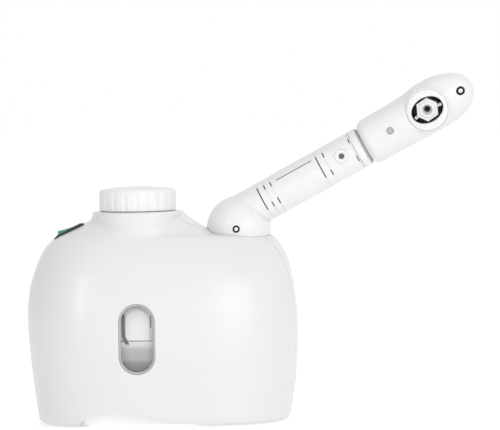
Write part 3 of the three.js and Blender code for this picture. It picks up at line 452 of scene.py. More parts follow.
def plastic(name, color, roughness, grain=0.0, grain_scale=900.0, coat=0.0, subsurface=0.0):
    """Moulded plastic: slow colour drift, patchy gloss and the fine grain or orange peel of the tool."""
    material, tree, shader = principled(name)
    shader.inputs["IOR"].default_value = 1.5
    shader.inputs["Coat Weight"].default_value = coat
    shader.inputs["Coat Roughness"].default_value = 0.16
    if subsurface:
        shader.inputs["Subsurface Weight"].default_value = subsurface
        shader.inputs["Subsurface Radius"].default_value = (1.0, 0.9, 0.8)
        shader.inputs["Subsurface Scale"].default_value = 0.002
    surface(
        tree, shader, color, roughness, drift=(noise(tree, 9, 1), 0.988),
        gloss=(noise(tree, 14, 2), 0.93, 1.08),
        relief=(noise(tree, grain_scale, 4), 0.03 + grain, 0.00002 + 0.0002 * grain),
    )
    return material


def metal(name, color, roughness):
    """Plated or cast metal with a fine, worn grain."""
    material, tree, shader = principled(name)
    shader.inputs["Metallic"].default_value = 1.0
    fine = noise(tree, 1600, 4)
    surface(
        tree, shader, color, roughness, drift=(fine, 0.8), gloss=(noise(tree, 700, 5), 0.7, 1.4),
        relief=(fine, 0.25, 0.00003),
    )
    return material


def see_through(name, color, alpha, roughness):
    """Clear or frosted plastic, with the faint ripple of its faces."""
    material, tree, shader = principled(name)
    shader.inputs["IOR"].default_value = 1.5
    shader.inputs["Alpha"].default_value = alpha
    surface(
        tree, shader, color, roughness, drift=(noise(tree, 120), 0.93), gloss=(noise(tree, 300), 0.7, 1.3),
        relief=(noise(tree, 160, 2), 0.2, 0.0001),
    )
    return material


SLOT_MATERIAL = {
    "casing": plastic("casing_white", (0.7, 0.703, 0.71), 0.34, coat=0.3),
    "cap_white": plastic("cap_white", (0.77, 0.77, 0.775), 0.36, coat=0.12),
    "arm_white": plastic("arm_white", (0.76, 0.757, 0.775), 0.24, coat=0.35),
    "inner_white": plastic("inner_white", (0.95, 0.95, 0.95), 0.5, grain=0.3, grain_scale=1500),
    # The window frame's mid grey paints the shade seen on the recessed window's edge.
    "rim_grey": plastic("rim_grey", (0.5, 0.505, 0.515), 0.22, coat=0.4),
    "clear": see_through("clear_plastic", (0.7, 0.71, 0.73), 0.08, 0.05),
    "black_plastic": plastic("switch_black", (0.012, 0.012, 0.014), 0.36, grain=0.4, grain_scale=2200),
    "rocker_green": plastic("rocker_green", (0.02, 0.3, 0.1), 0.14, coat=0.6, subsurface=0.15),
    "grey_plastic": plastic("plug_grey", (0.42, 0.42, 0.43), 0.4, grain=0.2),
    "brown_plastic": plastic("cup_brown", (0.07, 0.036, 0.04), 0.42, grain=0.3),
    "rubber": plastic("rubber_black", (0.018, 0.018, 0.018), 0.7, grain=0.8, grain_scale=2600),
    "silicone": plastic("silicone_white", (0.72, 0.7, 0.66), 0.45, subsurface=0.2),
    "board": plastic("board_green", (0.015, 0.12, 0.04), 0.35, grain=0.5),
    "steel": metal("plated_steel", (0.62, 0.63, 0.65), 0.28),
    "dark_steel": metal("dark_steel", (0.16, 0.16, 0.175), 0.34),
    "cast_aluminium": metal("cast_aluminium", (0.6, 0.61, 0.62), 0.5),
}

# Finishes of single pieces that differ from their slot's.
HEAD_WHITE = plastic("head_white", (0.74, 0.74, 0.745), 0.34, coat=0.3)
BALL_WHITE = plastic("ball_white", (0.75, 0.75, 0.757), 0.34, coat=0.25)
# Near-black plastic that paints the shade the arm's grooves show over parts of their round.
GROOVE_PAINTED_SHADE = plastic("groove_painted_shade", (0.03, 0.03, 0.035), 0.3)
SEAL_GREY = plastic("seal_grey", (0.42, 0.42, 0.43), 0.5, grain=0.2)
PALE_RUBBER = plastic("pale_rubber", (0.62, 0.62, 0.62), 0.7, grain=0.6, grain_scale=2600)
FROSTED = see_through("frosted_plastic", (0.82, 0.83, 0.84), 0.55, 0.3)
# Screw heads: dark steel, blackened further to paint the shade in the counterbore round them; bright steel
# at their middle paints a highlight.
BLACKENED_PAINTED_SHADE = metal("blackened_steel_painted_shade", (0.03, 0.03, 0.033), 0.4)
PAINTED_HIGHLIGHT_STEEL = metal("painted_highlight_steel", (0.86, 0.86, 0.86), 0.3)


def finished(obj, name, node, place=None, material=None, slot=None, sharp=32, painted_highlight_core=0.0):
    """Names a piece, puts it in place and lets it stand for its CAD node, on that node's body.

    A piece with a slot of its own is an extra beside the node, and doesn't stand for it. Faces within
    that core radius of the piece's own Y axis get bright steel, a painted highlight on a screw's middle."""
    obj.name = name
    obj.data.name = name
    drop_scraps(obj.data)
    in_highlight_core = [math.hypot(face.center.x, face.center.z) < painted_highlight_core * MM for face in obj.data.polygons]
    if place is not None:
        moved(obj, place)
    obj.data.shade_smooth()
    obj.data.set_sharp_from_angle(angle=math.radians(sharp))
    obj.data.materials.clear()
    obj.data.materials.append(material or SLOT_MATERIAL[slot or NODE_SLOT[node]])
    if painted_highlight_core:
        obj.data.materials.append(PAINTED_HIGHLIGHT_STEEL)
        for face, bright in zip(obj.data.polygons, in_highlight_core):
            face.material_index = int(bright)
    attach(obj, NODE_BODY[node])
    if slot is None:
        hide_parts(node)


# ---- casing surfaces

left_edge = smooth(
    [(0, -100.3), (9, -101.6), (33, -104.7), (63, -107.5), (85, -108.6), (106, -106.9), (120, -102.9),
     (137, -95.6), (147.5, -86.2), (153, -75), (159.5, -61.4), (163, -55), (167, -51)]
)
right_edge = smooth(
    [(0, 100.3), (9, 101.8), (37, 106.3), (76, 108.1), (104, 105.9), (125, 101.8), (139, 95.7),
     (145, 91.4), (147.4, 88), (148.6, 78), (149.4, 60), (150.3, 46.5), (155, 34.8), (162.8, 22.9),
     (167, 17.4)]
)
front_depth = smooth(
    [(0, 64.4), (54, 65), (60, 64.9), (80, 63.6), (100, 61.2), (118, 56.6), (132, 49.4),
     (141, 42.8), (148, 36.6), (156, 29), (162, 22.5), (167, 16)]
)
back_depth = smooth(
    [(0, 63.5), (40, 65), (80, 64.2), (100, 62.3), (118, 58.4), (132, 52), (141, 45.5), (148, 39),
     (156, 30.5), (162, 23), (167, 16)]
)
waist_y = smooth([(0, 10), (110, 10), (150, 2), (167, 0)])
squareness = smooth([(0, 2.8), (100, 2.7), (167, 2.3)])
ridge_x = smooth([(0, -0.4), (104, -0.4), (146, NECK_X), (167, NECK_X)])
FIRST_LEVEL, SHOULDER_LEVEL, DOME_TOP = 7.0, 138, 167.0
COLLAR_ROUND = 2.2
FILLET = 4.0


def section(z, inset):
    """Ridge, the two widths and depths beside it, and the power of the casing's outline at one height."""
    left, right, ridge, waist = left_edge(z) + inset, right_edge(z) - inset, ridge_x(z), waist_y(z)
    front, back = front_depth(z) + waist - inset, back_depth(z) - waist - inset
    return ridge, ridge - left, right - ridge, waist, front, back, squareness(z)


def casing_reach(angle, z, inset, collar):
    """How far the casing reaches from the neck's axis in each direction at one height."""
    ridge, left, right, waist, front, back, power = section(min(z, DOME_TOP), inset)
    c, s = np.cos(angle), np.sin(angle)
    low, high = np.zeros_like(angle), np.full_like(angle, 2 * FAR)
    for _ in range(40):
        reach = (low + high) / 2
        x, y = NECK_X + reach * c - ridge, reach * s - waist
        across = x / np.where(x < 0, left, right)
        along = y / np.where(y < 0, front, back)
        inside = np.abs(across) ** power + np.abs(along) ** power < 1
        low, high = np.where(inside, reach, low), np.where(inside, high, reach)
    if not collar:
        return low
    neck = COLLAR_RADIUS - inset
    blend = np.clip(FILLET - np.abs(low - neck), 0, None) / FILLET
    return np.maximum(low, neck) + blend**2 * FILLET / 4


def casing_ring(z, inset, height, count, collar=True, trim=0.0):
    """The casing's outline as it is at z, drawn in by inset and trim, and laid at a height."""
    angle = around(count)
    return level_ring(casing_reach(angle, z, inset, collar) - trim, angle, height, (NECK_X, 0))


def casing_levels(spacing):
    """Heights up the casing, closer together where the shoulders are flat."""
    levels, last = [FIRST_LEVEL], casing_ring(FIRST_LEVEL, 0, FIRST_LEVEL, 48)
    for z in np.arange(FIRST_LEVEL + 0.1, COLLAR_TOP - COLLAR_ROUND, 0.1):
        ring = casing_ring(z, 0, z, 48)
        if np.linalg.norm(ring - last, axis=1).max() > spacing * (0.5 if z > SHOULDER_LEVEL else 1):
            levels.append(float(z))
            last = ring
    return levels + [COLLAR_TOP - COLLAR_ROUND]


def casing_skin(inset, spacing, count, bottom=None):
    """The casing's surface drawn in by inset, as a closed block with its filler collar.

    Without a bottom it ends in the rounded edge of the skirt."""
    rings = []
    if bottom is None:
        deep, tall = SKIRT_ROUND
        for z in (SKIRT_BOTTOM, 1.05, 1.6, 2.4, 3.4, 4.6):
            drawn_in = deep * (1 - math.sqrt(1 - ((SKIRT_BOTTOM + tall - z) / tall) ** 2))
            rings.append(casing_ring(z, drawn_in, z, count))
    else:
        rings.append(casing_ring(bottom, inset, bottom, count))
    for z in casing_levels(spacing):
        height = z - inset * min(1.0, z / 40)
        if height > (bottom or 0) + 0.5:
            rings.append(casing_ring(z, inset, height, count))
    top_round = max(COLLAR_ROUND - inset, 0.3)
    top = rings[-1][0][2]
    for k in (1, 2, 3, 4):
        turn = math.pi / 2 * k / 4
        height = top + top_round * math.sin(turn)
        rings.append(casing_ring(DOME_TOP, inset, height, count, trim=top_round * (1 - math.cos(turn))))
    return loft(rings)


def front_y(x, z):
    """Where the casing's front surface lies at (x, z)."""
    ridge, left, right, waist, front, _, power = section(z, 0.0)
    across = (x - ridge) / np.where(x < ridge, left, right)
    return waist - front * (1 - np.abs(across) ** power) ** (1 / power)


# ---- casing


def arc(cx, cy, radius, first, last, steps):
    """Points along an arc in degrees, counter-clockwise."""
    return [
        (cx + radius * math.cos(turn), cy + radius * math.sin(turn))
        for turn in np.radians(np.linspace(first, last, steps))
    ]


def capsule(half):
    """The window's outline at one half width, about the same two centres."""
    upper = arc(WINDOW_X, WINDOW_TOP - WINDOW_HALF, half, 0, 180, 33)
    return upper + arc(WINDOW_X, WINDOW_BOTTOM + WINDOW_HALF, half, 180, 360, 33)


def bezier(p0, p1, p2, p3):
    """Points along a cubic curve, without its first point."""
    t = np.linspace(0, 1, 17)[1:, None]
    p0, p1, p2, p3 = (np.array(p, float) for p in (p0, p1, p2, p3))
    curve = (1 - t) ** 3 * p0 + 3 * (1 - t) ** 2 * t * p1 + 3 * (1 - t) * t**2 * p2 + t**3 * p3
    return [tuple(p) for p in curve]


def arch(margin):
    """The wavy cut in the front skirt."""
    left, top, right = -69 - margin, 11.6 + margin, 44 + margin
    outline = [(left, -5), (left, 0.4)]
    outline += bezier((left, 0.4), (-64 - margin, 4.4), (-62, top), (-44, top))
    outline += bezier((-44, top), (-14, top), (8, 2.8), (right, 0.4))
    return outline + [(right, -5)]


SHELL_SCREWS = ((-84, 36), (89, 36), (-79, 116), (83, 112))
WELL_RADIUS, WELL_TUBE_RADIUS = 4, 5.4
GLAND = (40.0, 25.0)
GLAND_SEAT_Y = 62.4
OUTER_POINTS, INNER_POINTS = 224, 96

outer = casing_skin(0.01, 2.6, OUTER_POINTS)
shell = cut(
    copy_of(outer),
    casing_skin(WALL, 6.0, INNER_POINTS, bottom=5.0),
    loft([casing_ring(3, LIP_INSET, z, 64, collar=False) for z in (-1, 6)]),
)
well_tubes = [rod("Y", x, z, SEAM_Y, FAR, WELL_TUBE_RADIUS) for x, z in SHELL_SCREWS]
shell = join(shell, common(join(well_tubes[0], *well_tubes[1:]), outer))
seam_groove = cut(
    box(-FAR, FAR, SEAM_Y - 0.45, SEAM_Y + 0.45, -FAR, FAR), casing_skin(0.5, 4.0, INNER_POINTS, bottom=-1.0)
)
shell = cut(
    shell,
    seam_groove,
    prism(capsule(WINDOW_HALF), -FAR, -40),
    prism(arch(0), -FAR, -46),
    ball(BALL, SOCKET_RADIUS, 128),
    rod("Z", NECK_X, 0, 160, 175, NECK_RADIUS + 1, segments=96),
    moved(join(box(-13.3, 13.3, -9.8, 9.8, -1, 30), box(-10.9, 10.9, -7.2, 7.2, -25, 1)), SWITCH_PLACE),
    rod("Y", *GLAND, 50, 80, 6),
    rod("Y", *GLAND, GLAND_SEAT_Y, 80, 9.3),
    *[rod("Y", x, z, -6, FAR, WELL_RADIUS) for x, z in SHELL_SCREWS],
)
front = common(copy_of(shell), box(-FAR, FAR, -FAR, SEAM_Y - GAP / 2, -FAR, FAR))
rear = common(shell, box(-FAR, FAR, SEAM_Y + GAP / 2, FAR, -FAR, FAR))
finished(front, "casing_front", "front_shell")
finished(rear, "casing_rear", "rear_shell")

gland = washer(
    [(3.7, 57), (5.7, 57, 0.6), (5.7, GLAND_SEAT_Y + GAP), (9, GLAND_SEAT_Y + GAP, 0.4), (7.4, 65.4, 1.0),
     (3.7, 65.4, 0.5)], 64, "Y",
)
finished(gland, "cord_grommet", "cord_gland", at(GLAND[0], 0, GLAND[1]))

# ---- base

BASE_UNDERSIDE = 1.5
BASE_SCREWS = ((-76, -25), (75, -25), (-36, 46), (36, 46))
FEET = ((-64, -33), (64, -33), (-66, 38), (66, 38))
TRAY_TOP, TRAY_FLOOR, TRAY_STEP, BOSS_RADIUS = 9.0, 4.5, 5.3, 6.0
TRAY_INSET = WALL + 1.2
PLATE_WELL_RADIUS, PLATE_HOLE_RADIUS, FOOT_SEAT_RADIUS = 3.8, 1.9, 5.8
SCOOP_MARGIN, SCOOP_BACK_Y = 3.8, -44.4


def tray(*levels):
    """A block of the casing's outline; a level is its height, its inset and the height it is taken from."""
    return loft([casing_ring(sampled, inset, z, 128, collar=False) for z, inset, sampled in levels])


def scoop():
    return prism(arch(SCOOP_MARGIN), -FAR, SCOOP_BACK_Y)


plate = join(
    tray((BASE_UNDERSIDE, LIP_ROOM + 0.5, 3), (BASE_UNDERSIDE + 0.5, LIP_ROOM, 3), (TRAY_STEP, LIP_ROOM, 3)),
    tray((TRAY_STEP, TRAY_INSET, 7), (TRAY_TOP, TRAY_INSET, 9)),
)
scoop_cover = common(
    scoop(),
    tray((BASE_UNDERSIDE, LIP_ROOM, 3), (TRAY_STEP, LIP_ROOM, 3), (TRAY_STEP + GAP, TRAY_INSET, 7),
         (18.5, TRAY_INSET, 18)),
)
pocket = cut(tray((TRAY_FLOOR, LIP_INSET + 3, 3), (TRAY_TOP + 1, LIP_INSET + 3, 3)), scoop())
screw_posts = [rod("Z", x, y, 2.5, TRAY_TOP, BOSS_RADIUS) for x, y in BASE_SCREWS]
plate = join(cut(plate, pocket), scoop_cover, *screw_posts)
plate = cut(
    plate,
    prism(arch(1.2), -FAR, -47),
    *[rod("Z", x, y, 0, BASE_UNDERSIDE + 3.6, PLATE_WELL_RADIUS) for x, y in BASE_SCREWS],
    *[rod("Z", x, y, 0, TRAY_TOP + 1, PLATE_HOLE_RADIUS) for x, y in BASE_SCREWS],
    *[rod("Z", x, y, 0, BASE_UNDERSIDE + 1.5, FOOT_SEAT_RADIUS) for x, y in FEET],
)
finished(plate, "bottom_plate", "base_plate")
for i, (x, y) in enumerate(FEET):
    foot = turned([(0, 0), (4.9, 0, 0.8), (5.4, 2.7, 0.3), (0, 2.7)], 48)
    finished(foot, f"rubber_foot_{i + 1}", f"foot_{i + 1}", at(x, y, 0), PALE_RUBBER)


# ---- screws


def screw_head(radius, depth, shank, length, core=0.0):
    """A cross-head screw that faces -Y, with its face at the origin; a core stands proud of the rest."""
    face = [(core, 0.05, 0.2), (core + 0.1, 0.8)] if core else []
    edge = 0.9 if core else 0.25
    made = turned(
        [(0, 0), *face, (radius, edge, 0.1 + edge * 0.1), (radius, max(depth * 0.5, edge + 0.3), 0.1),
         (shank, depth), (shank, length, 0.4), (0, length)], 40, "Y",
    )
    radius = core or radius
    arm, slot, deep = 0.62 * radius, 0.15 * radius, 0.42 * radius
    return cut(
        made,
        join(box(-arm, arm, -1, deep, -slot, slot), box(-slot, slot, -1, deep, -arm, arm)),
        rod("Y", 0, 0, -1, 0.6 * radius, 0.55 * radius, 0.15 * radius, 12),
    )


UP_FROM_BELOW = Matrix.Rotation(math.radians(90), 4, "X")
FROM_BEHIND = Matrix.Rotation(math.radians(180), 4, "Z")
# Head radius, head depth and shank radius of the screws that hold the casing together.
CASE_SCREW = (3.4, 2.7, 1.6)
for i, (x, y) in enumerate(BASE_SCREWS):
    place = at(x, y, 1.9) @ UP_FROM_BELOW
    finished(screw_head(*CASE_SCREW, 13), f"plate_screw_{i + 1}", f"base_screw_{i + 1}", place)
for i, (x, z) in enumerate(SHELL_SCREWS):
    place = at(x, -2.8, z) @ FROM_BEHIND
    finished(screw_head(*CASE_SCREW, 26), f"casing_screw_{i + 1}", f"shell_screw_{i + 1}", place)

# ---- window, tank and filler


def on_front(half, depth):
    """The window's outline at one half width, laid at a depth behind the casing's surface."""
    outline = np.array(capsule(half))
    return np.stack([outline[:, 0], front_y(outline[:, 0], outline[:, 1]) + depth, outline[:, 1]], 1)


rim_profile = rounded(
    [(RIM_OUTER, 1.6), (RIM_OUTER, 0.3, 0.25), (RIM_OUTER - 0.45, 0.3, 0.2), (RIM_INNER, 2.0, 0.15),
     (RIM_INNER, 3.4), (RIM_OUTER, 3.4), (RIM_OUTER, 1.6)]
)
rim = loft([on_front(half, depth) for half, depth in rim_profile[:-1]], loop=True)
finished(rim, "window_frame", "window_rim")

lens_half = RIM_INNER - GAP
lens_front = [(half, 1.3 + 0.6 * (half / lens_half) ** 2) for half in (0.3, 2, 4, 6, 8, 10, 11.4)]
lens_profile = lens_front + [(lens_half - 0.2, 1.95), (lens_half, 2.15), (lens_half, 3.1)]
lens_profile += [(half, 3.2) for half in (lens_half - 0.2, 8, 4, 0.3)]
lens = loft([on_front(half, depth) for half, depth in lens_profile])
finished(lens, "window_glazing", "window_lens")

LID = ((-54, 24), (-57, 44))
LID_CORNER, LID_UNDERSIDE, LID_TOP, NECK_BORE = 10, 141.6, 144, 23.5
lid_outline = []
for start, x, y in ((0, 1, 1), (90, 0, 1), (180, 0, 0), (270, 1, 0)):
    across, along = LID[0][x] + LID_CORNER * (1 - 2 * x), LID[1][y] + LID_CORNER * (1 - 2 * y)
    lid_outline += arc(across, along, LID_CORNER, start, start + 90, 9)
lid_plate = common(
    prism(lid_outline, LID_UNDERSIDE, LID_TOP, "Z"), casing_skin(WALL + 4, 6, INNER_POINTS, bottom=5.0)
)
neck = moved(flat_ring(NECK_BORE, NECK_RADIUS, LID_UNDERSIDE + 0.1, NECK_TOP, 0, 0.8, 0.6), at(NECK_X, 0, 0))
THREAD_TURNS, THREAD_PITCH, THREAD_START, THREAD_STEPS, THREAD_FADE = 1.6, 3.0, 173.6, 100, 8
thread_rings = []
for k in range(THREAD_STEPS + 1):
    turn = 2 * math.pi * THREAD_TURNS * k / THREAD_STEPS
    height = THREAD_START + THREAD_PITCH * THREAD_TURNS * k / THREAD_STEPS
    crest = NECK_RADIUS + 0.8 * min(1.0, k / THREAD_FADE, (THREAD_STEPS - k) / THREAD_FADE)
    corners = ((NECK_RADIUS - 0.5, -0.9), (crest, -0.3), (crest, 0.3), (NECK_RADIUS - 0.5, 0.9))
    thread_rings.append([(NECK_X + r * math.cos(turn), r * math.sin(turn), height + h) for r, h in corners])
thread = loft(thread_rings)
lid = cut(join(lid_plate, neck, thread), rod("Z", NECK_X, 0, 130, 190, NECK_BORE, segments=96))
finished(lid, "tank_top", "tank_lid", material=FROSTED)

gasket = flat_ring(NECK_RADIUS + GAP, NECK_RADIUS + 5, 163, 165.7, 0.6, 0.6, 0.3)
finished(gasket, "neck_sleeve", "neck_gasket", at(NECK_X, 0, 0))
seal = flat_ring(NECK_RADIUS - 3.4, NECK_RADIUS + 1.1, NECK_TOP + GAP, NECK_TOP + 1.5, 0.4, 0.4, 0.4)
finished(seal, "cap_washer", "cap_seal", at(NECK_X, 0, 0))

cap_profile = [(0, CAP_TOP), (6, CAP_TOP - 0.1), (12, CAP_TOP - 0.4), (CAP_RADIUS - 12, CAP_TOP - 0.9)]
cap_profile += rounded(
    [(CAP_RADIUS - 8, CAP_EDGE + 1.55), (CAP_RADIUS - 1.2, CAP_EDGE + 0.4, 0.1),
     (CAP_RADIUS, CAP_EDGE - 1.6, 1.2), (CAP_RADIUS, CAP_BOTTOM + 9)], 5,
)
cap_profile += [(CAP_RADIUS, h) for h in (CAP_BOTTOM + 6, CAP_BOTTOM + 3, CAP_BOTTOM + 1.2)]
cap_profile += rounded(
    [(CAP_RADIUS, CAP_BOTTOM + 1), (CAP_RADIUS, CAP_BOTTOM, 0.6), (CAP_BORE, CAP_BOTTOM, 0.4),
     (CAP_BORE, CAP_CEILING), (0, CAP_CEILING)]
)
flute_angle = around(CAP_FLUTES * 16)
flute = FLUTE_DEPTH * np.clip(np.cos(CAP_FLUTES * flute_angle), 0, 1) ** 2
cap_rings = []
for radius, height in cap_profile:
    on_skirt = radius > CAP_BORE + 1.5
    fade = float(np.clip((CAP_EDGE - 1.2 - height) / 2.0, 0, 1)) if on_skirt else 0.0
    cap_rings.append(level_ring(max(radius, 0.01) - flute * fade, flute_angle, height))
finished(loft(cap_rings), "screw_cap", "filler_cap", at(NECK_X, 0, 0), sharp=50)

# ---- ball elbow


def half_space(side, x0, x1):
    """The front (-1) or rear (1) half of a split piece, less half of the gap between them."""
    near, far = sorted((side * GAP / 2, side * 40))
    return box(x0, x1, near, far, -40, 40)


CAVITY = BALL_RADIUS - 2.4
SLOT_HALF, SLOT_MARGIN = 8.7, 24
SCREW_FACE = BALL_RADIUS - 0.35
# The slot for the yoke's stem, which points down at rest, in degrees from the arm.
first = 270 - ARM_ELEVATION - TILT_UP - SLOT_MARGIN
last = 270 - ARM_ELEVATION + TILT_DOWN + SLOT_MARGIN
for side, name in ((-1, "front"), (1, "rear")):
    elbow = cut(ball((0, 0, 0), BALL_RADIUS, 128), ball((0, 0, 0), CAVITY, 48))
    elbow = join(elbow, rod("Y", 0, 0, side * 19.1, side * (CAVITY + 0.5), 5))
    elbow = cut(
        elbow,
        rod("Y", 0, 0, side * (BALL_RADIUS - 2.9), side * 30, 3.0),
        rod("Y", 0, 0, 0, side * 30, 1.9),
        rod("X", 0, ARM_OFFSET, 0, 50, TUBE_RADIUS + GAP, segments=96),
        prism([(0, 0)] + arc(0, 0, BALL_RADIUS + 5, first, last, 40), -SLOT_HALF, SLOT_HALF),
        cut(box(-40, 40, -0.4, 0.4, -40, 40), ball((0, 0, 0), BALL_RADIUS - 0.4, 64)),
    )
    elbow = common(elbow, half_space(side, -40, 40))
    finished(elbow, f"ball_{name}", f"elbow_{name}", ARM_PLACE, BALL_WHITE)
    pivot = ARM_PLACE @ (Matrix.Identity(4) if side < 0 else FROM_BEHIND) @ at(0, -SCREW_FACE, 0)
    screw = screw_head(2.9, 2.48, 1.6, SCREW_FACE - 15.4, 1.5)
    finished(screw, f"ball_screw_{name}", f"pivot_screw_{name}", pivot, BLACKENED_PAINTED_SHADE, painted_highlight_core=1.7)

# ---- arm

RING_HALF, RING_FLOOR = 0.55, TUBE_RADIUS - 0.55
tube_profile = [(TUBE_BORE, TUBE_START), (TUBE_RADIUS, TUBE_START)]
for x in RING_GROOVES:
    start, end = x - RING_HALF, x + RING_HALF
    tube_profile += rounded(
        [(TUBE_RADIUS, start - 0.4), (TUBE_RADIUS, start, 0.12), (RING_FLOOR, x - 0.25, 0.1),
         (RING_FLOOR, x + 0.25, 0.1), (TUBE_RADIUS, end, 0.12), (TUBE_RADIUS, end + 0.4)], 2,
    )
tube_profile += [(TUBE_RADIUS, TUBE_END - 0.4), (TUBE_RADIUS - 0.2, TUBE_END), (TUBE_BORE, TUBE_END)]
tube_profile.append(tube_profile[0])
# The long groove: its two ends along the tube, and how far above the front it lies in degrees.
LINE_START, LINE_END, LINE_ANGLE = 45.8, 77.8, 39.0
outer_tube = cut(
    lathe(tube_profile, 128, "X"),
    ball((0, 0, -ARM_OFFSET), 21.5, 64),
    turned_by(box(LINE_START, LINE_END, -17, -15.4, -0.4, 0.4), -LINE_ANGLE, "X"),
    rod("Y", STOP_X, STOP_Z, -20, -11, 5.42, segments=64),
)
finished(outer_tube, "outer_tube", "arm_tube", TUBE_PLACE)


def band(x, half_width, low, high, inner_radius, outer_radius):
    """A strip round part of the tube, between two angles above the front."""
    near, far = x - half_width, x + half_width
    corners = ((near, inner_radius), (far, inner_radius), (far, outer_radius), (near, outer_radius))
    turns = np.radians(np.linspace(low, high, max(3, int((high - low) / 3))))
    return loft([[(u, -r * math.cos(turn), r * math.sin(turn)) for u, r in corners] for turn in turns])


# Painted shade in parts of the engraved rings, where they look dark: ring, half width, first and last angle
# above the front.
RING_SHADE_ARCS = (
    (0, 0.5, -27, 49), (1, 0.5, 31, 46), (1, 0.42, -28, -12), (2, 0.5, 30, 45), (2, 0.46, -28, -9),
    (3, 0.44, -28, 43), (4, 0.46, 29, 45), (4, 0.4, -32, -14), (5, 0.4, 29, 42), (5, 0.32, -34, -16),
)
groove_shades = [
    band(RING_GROOVES[ring], half, low, high, TUBE_RADIUS - 0.8, TUBE_RADIUS - 0.12)
    for ring, half, low, high in RING_SHADE_ARCS
]
# The long groove's painted shade.
groove_shades.append(turned_by(box(LINE_START + 0.2, LINE_END - 0.2, -15.9, -15.2, -0.3, 0.3), -LINE_ANGLE, "X"))
finished(join(groove_shades[0], *groove_shades[1:]), "painted_groove_shade_strips", "arm_tube", TUBE_PLACE, GROOVE_PAINTED_SHADE, "dark_steel")

STOP_PLACE = TUBE_PLACE @ at(STOP_X, 0, STOP_Z)
boss = washer(
    [(2.1, -13.6), (5.3, -13.6, 0.2), (5.3, -16.8, 0.4), (3.6, -16.6, 0.6), (2.1, -15.7, 0.2)], 64, "Y"
)
finished(boss, "stop_cup", "stop_boss", STOP_PLACE)
grub = cut(
    turned([(0, -16.3), (1.8, -16.3, 0.25), (1.8, -12.2, 0.3), (0, -12.2)], 40, "Y"),
    box(-1.35, 1.35, -17, -15.6, -0.3, 0.3), box(-0.3, 0.3, -17, -15.6, -1.35, 1.35),
)
finished(grub, "stop_grub", "stop_screw", STOP_PLACE)
collar_start, collar_radius = TUBE_END + GAP, TUBE_RADIUS + 0.1
collar = washer(
    [(TUBE_BORE, collar_start), (collar_radius, collar_start, 0.25), (collar_radius, COLLAR_END - 0.6, 0.5),
     (TUBE_RADIUS - 0.5, COLLAR_END, 0.2), (TUBE_BORE, COLLAR_END)], 128, "X",
)
finished(collar, "collar_ring", "tube_collar", TUBE_PLACE)
seal_start, seal_radius = COLLAR_END + 0.1, TUBE_RADIUS - 0.8
tube_seal = washer(
    [(INNER_RADIUS + GAP, seal_start), (seal_radius, seal_start, 0.1), (seal_radius, SEAL_END - 0.6, 0.3),
     (INNER_RADIUS + GAP, SEAL_END, 0.2)], 96, "X",
)
finished(tube_seal, "wiper_seal", "tube_seal", TUBE_PLACE, SEAL_GREY)
INNER_START, INNER_END, FLANGE_START, FLANGE_END, FLANGE_RADIUS = 32, 134, 126.6, 128.6, INNER_RADIUS + 1.9
inner_tube = cut(
    washer(
        [(INNER_BORE, INNER_START), (INNER_RADIUS, INNER_START, 0.3), (INNER_RADIUS, FLANGE_START),
         (FLANGE_RADIUS, FLANGE_START, 0.2), (FLANGE_RADIUS, FLANGE_END, 0.2), (INNER_RADIUS, FLANGE_END),
         (INNER_RADIUS, INNER_END, 0.3), (INNER_BORE, INNER_END)], 96, "X",
    ),
    box(STOP_X + 2.4 - SLIDE_TRAVEL - 5, STOP_X + 2.4, -14, -11.8, STOP_Z - 2.3, STOP_Z + 2.3),
)
finished(inner_tube, "sliding_tube", "inner_tube", TUBE_PLACE)

# ---- steam head

HEAD_SPAN = (100, 240)
HEAD_LIP = HEAD_START - 1.9
# The lip swells into the head at these places along the arm's axis.
SWELL = (HEAD_LIP, 122, HEAD_START, 124.2, 126)
head_top = smooth(
    [*zip(SWELL, (15.2, 16.4, 17.5, 18.5, 19.1)), (156, 19.7), (165, 20.4), (177, 22.4), (186, 22.5),
     (194, 21.6), (203, 19.2), (210, 15.8), (215, 11.6), (HEAD_TIP - 0.6, 5.6), (HEAD_TIP, 2.4)]
)
head_bottom = smooth(
    [*zip(SWELL, (-14.9, -15.8, -16.7, -17.6, -18.2)), (159, -18.3), (172, -18.9), (185, -18.9),
     (197, -17.8), (206, -14.8), (212, -11), (216, -6.6), (HEAD_TIP - 0.6, -2), (HEAD_TIP, 0.4)]
)
head_depth = smooth(
    [*zip(SWELL, (14.9, 15.9, 16.9, 17.8, 18.4)), (150, 17.9), (177, 16.6), (192, 15.4),
     (203, 13.4), (210, 10.9), (215, 7.8), (HEAD_TIP - 0.6, 3.4), (HEAD_TIP, 1.2)]
)
HEAD_SQUARENESS = 2.25


def head_ring(x, inset, count=96):
    """The head's outline, a slightly squared oval, drawn in by inset."""
    top, bottom, depth = head_top(x) - inset, head_bottom(x) + inset, head_depth(x) - inset
    c, s = (
        np.sign(side) * np.abs(side) ** (2 / HEAD_SQUARENESS)
        for side in (np.cos(around(count)), np.sin(around(count)))
    )
    return np.stack([np.full(count, float(x)), depth * s, (top + bottom) / 2 + (top - bottom) / 2 * c], 1)


def head_levels():
    """Places for the head's outlines, close together at the lip and at the round end."""
    body_end = 205
    start, along = np.linspace(HEAD_LIP, SWELL[-1], 9), np.linspace(128, body_end, 35)
    end = body_end + (HEAD_TIP - 0.12 - body_end) * np.sin(np.linspace(0.08, math.pi / 2, 26))
    return np.concatenate([start, along, end])


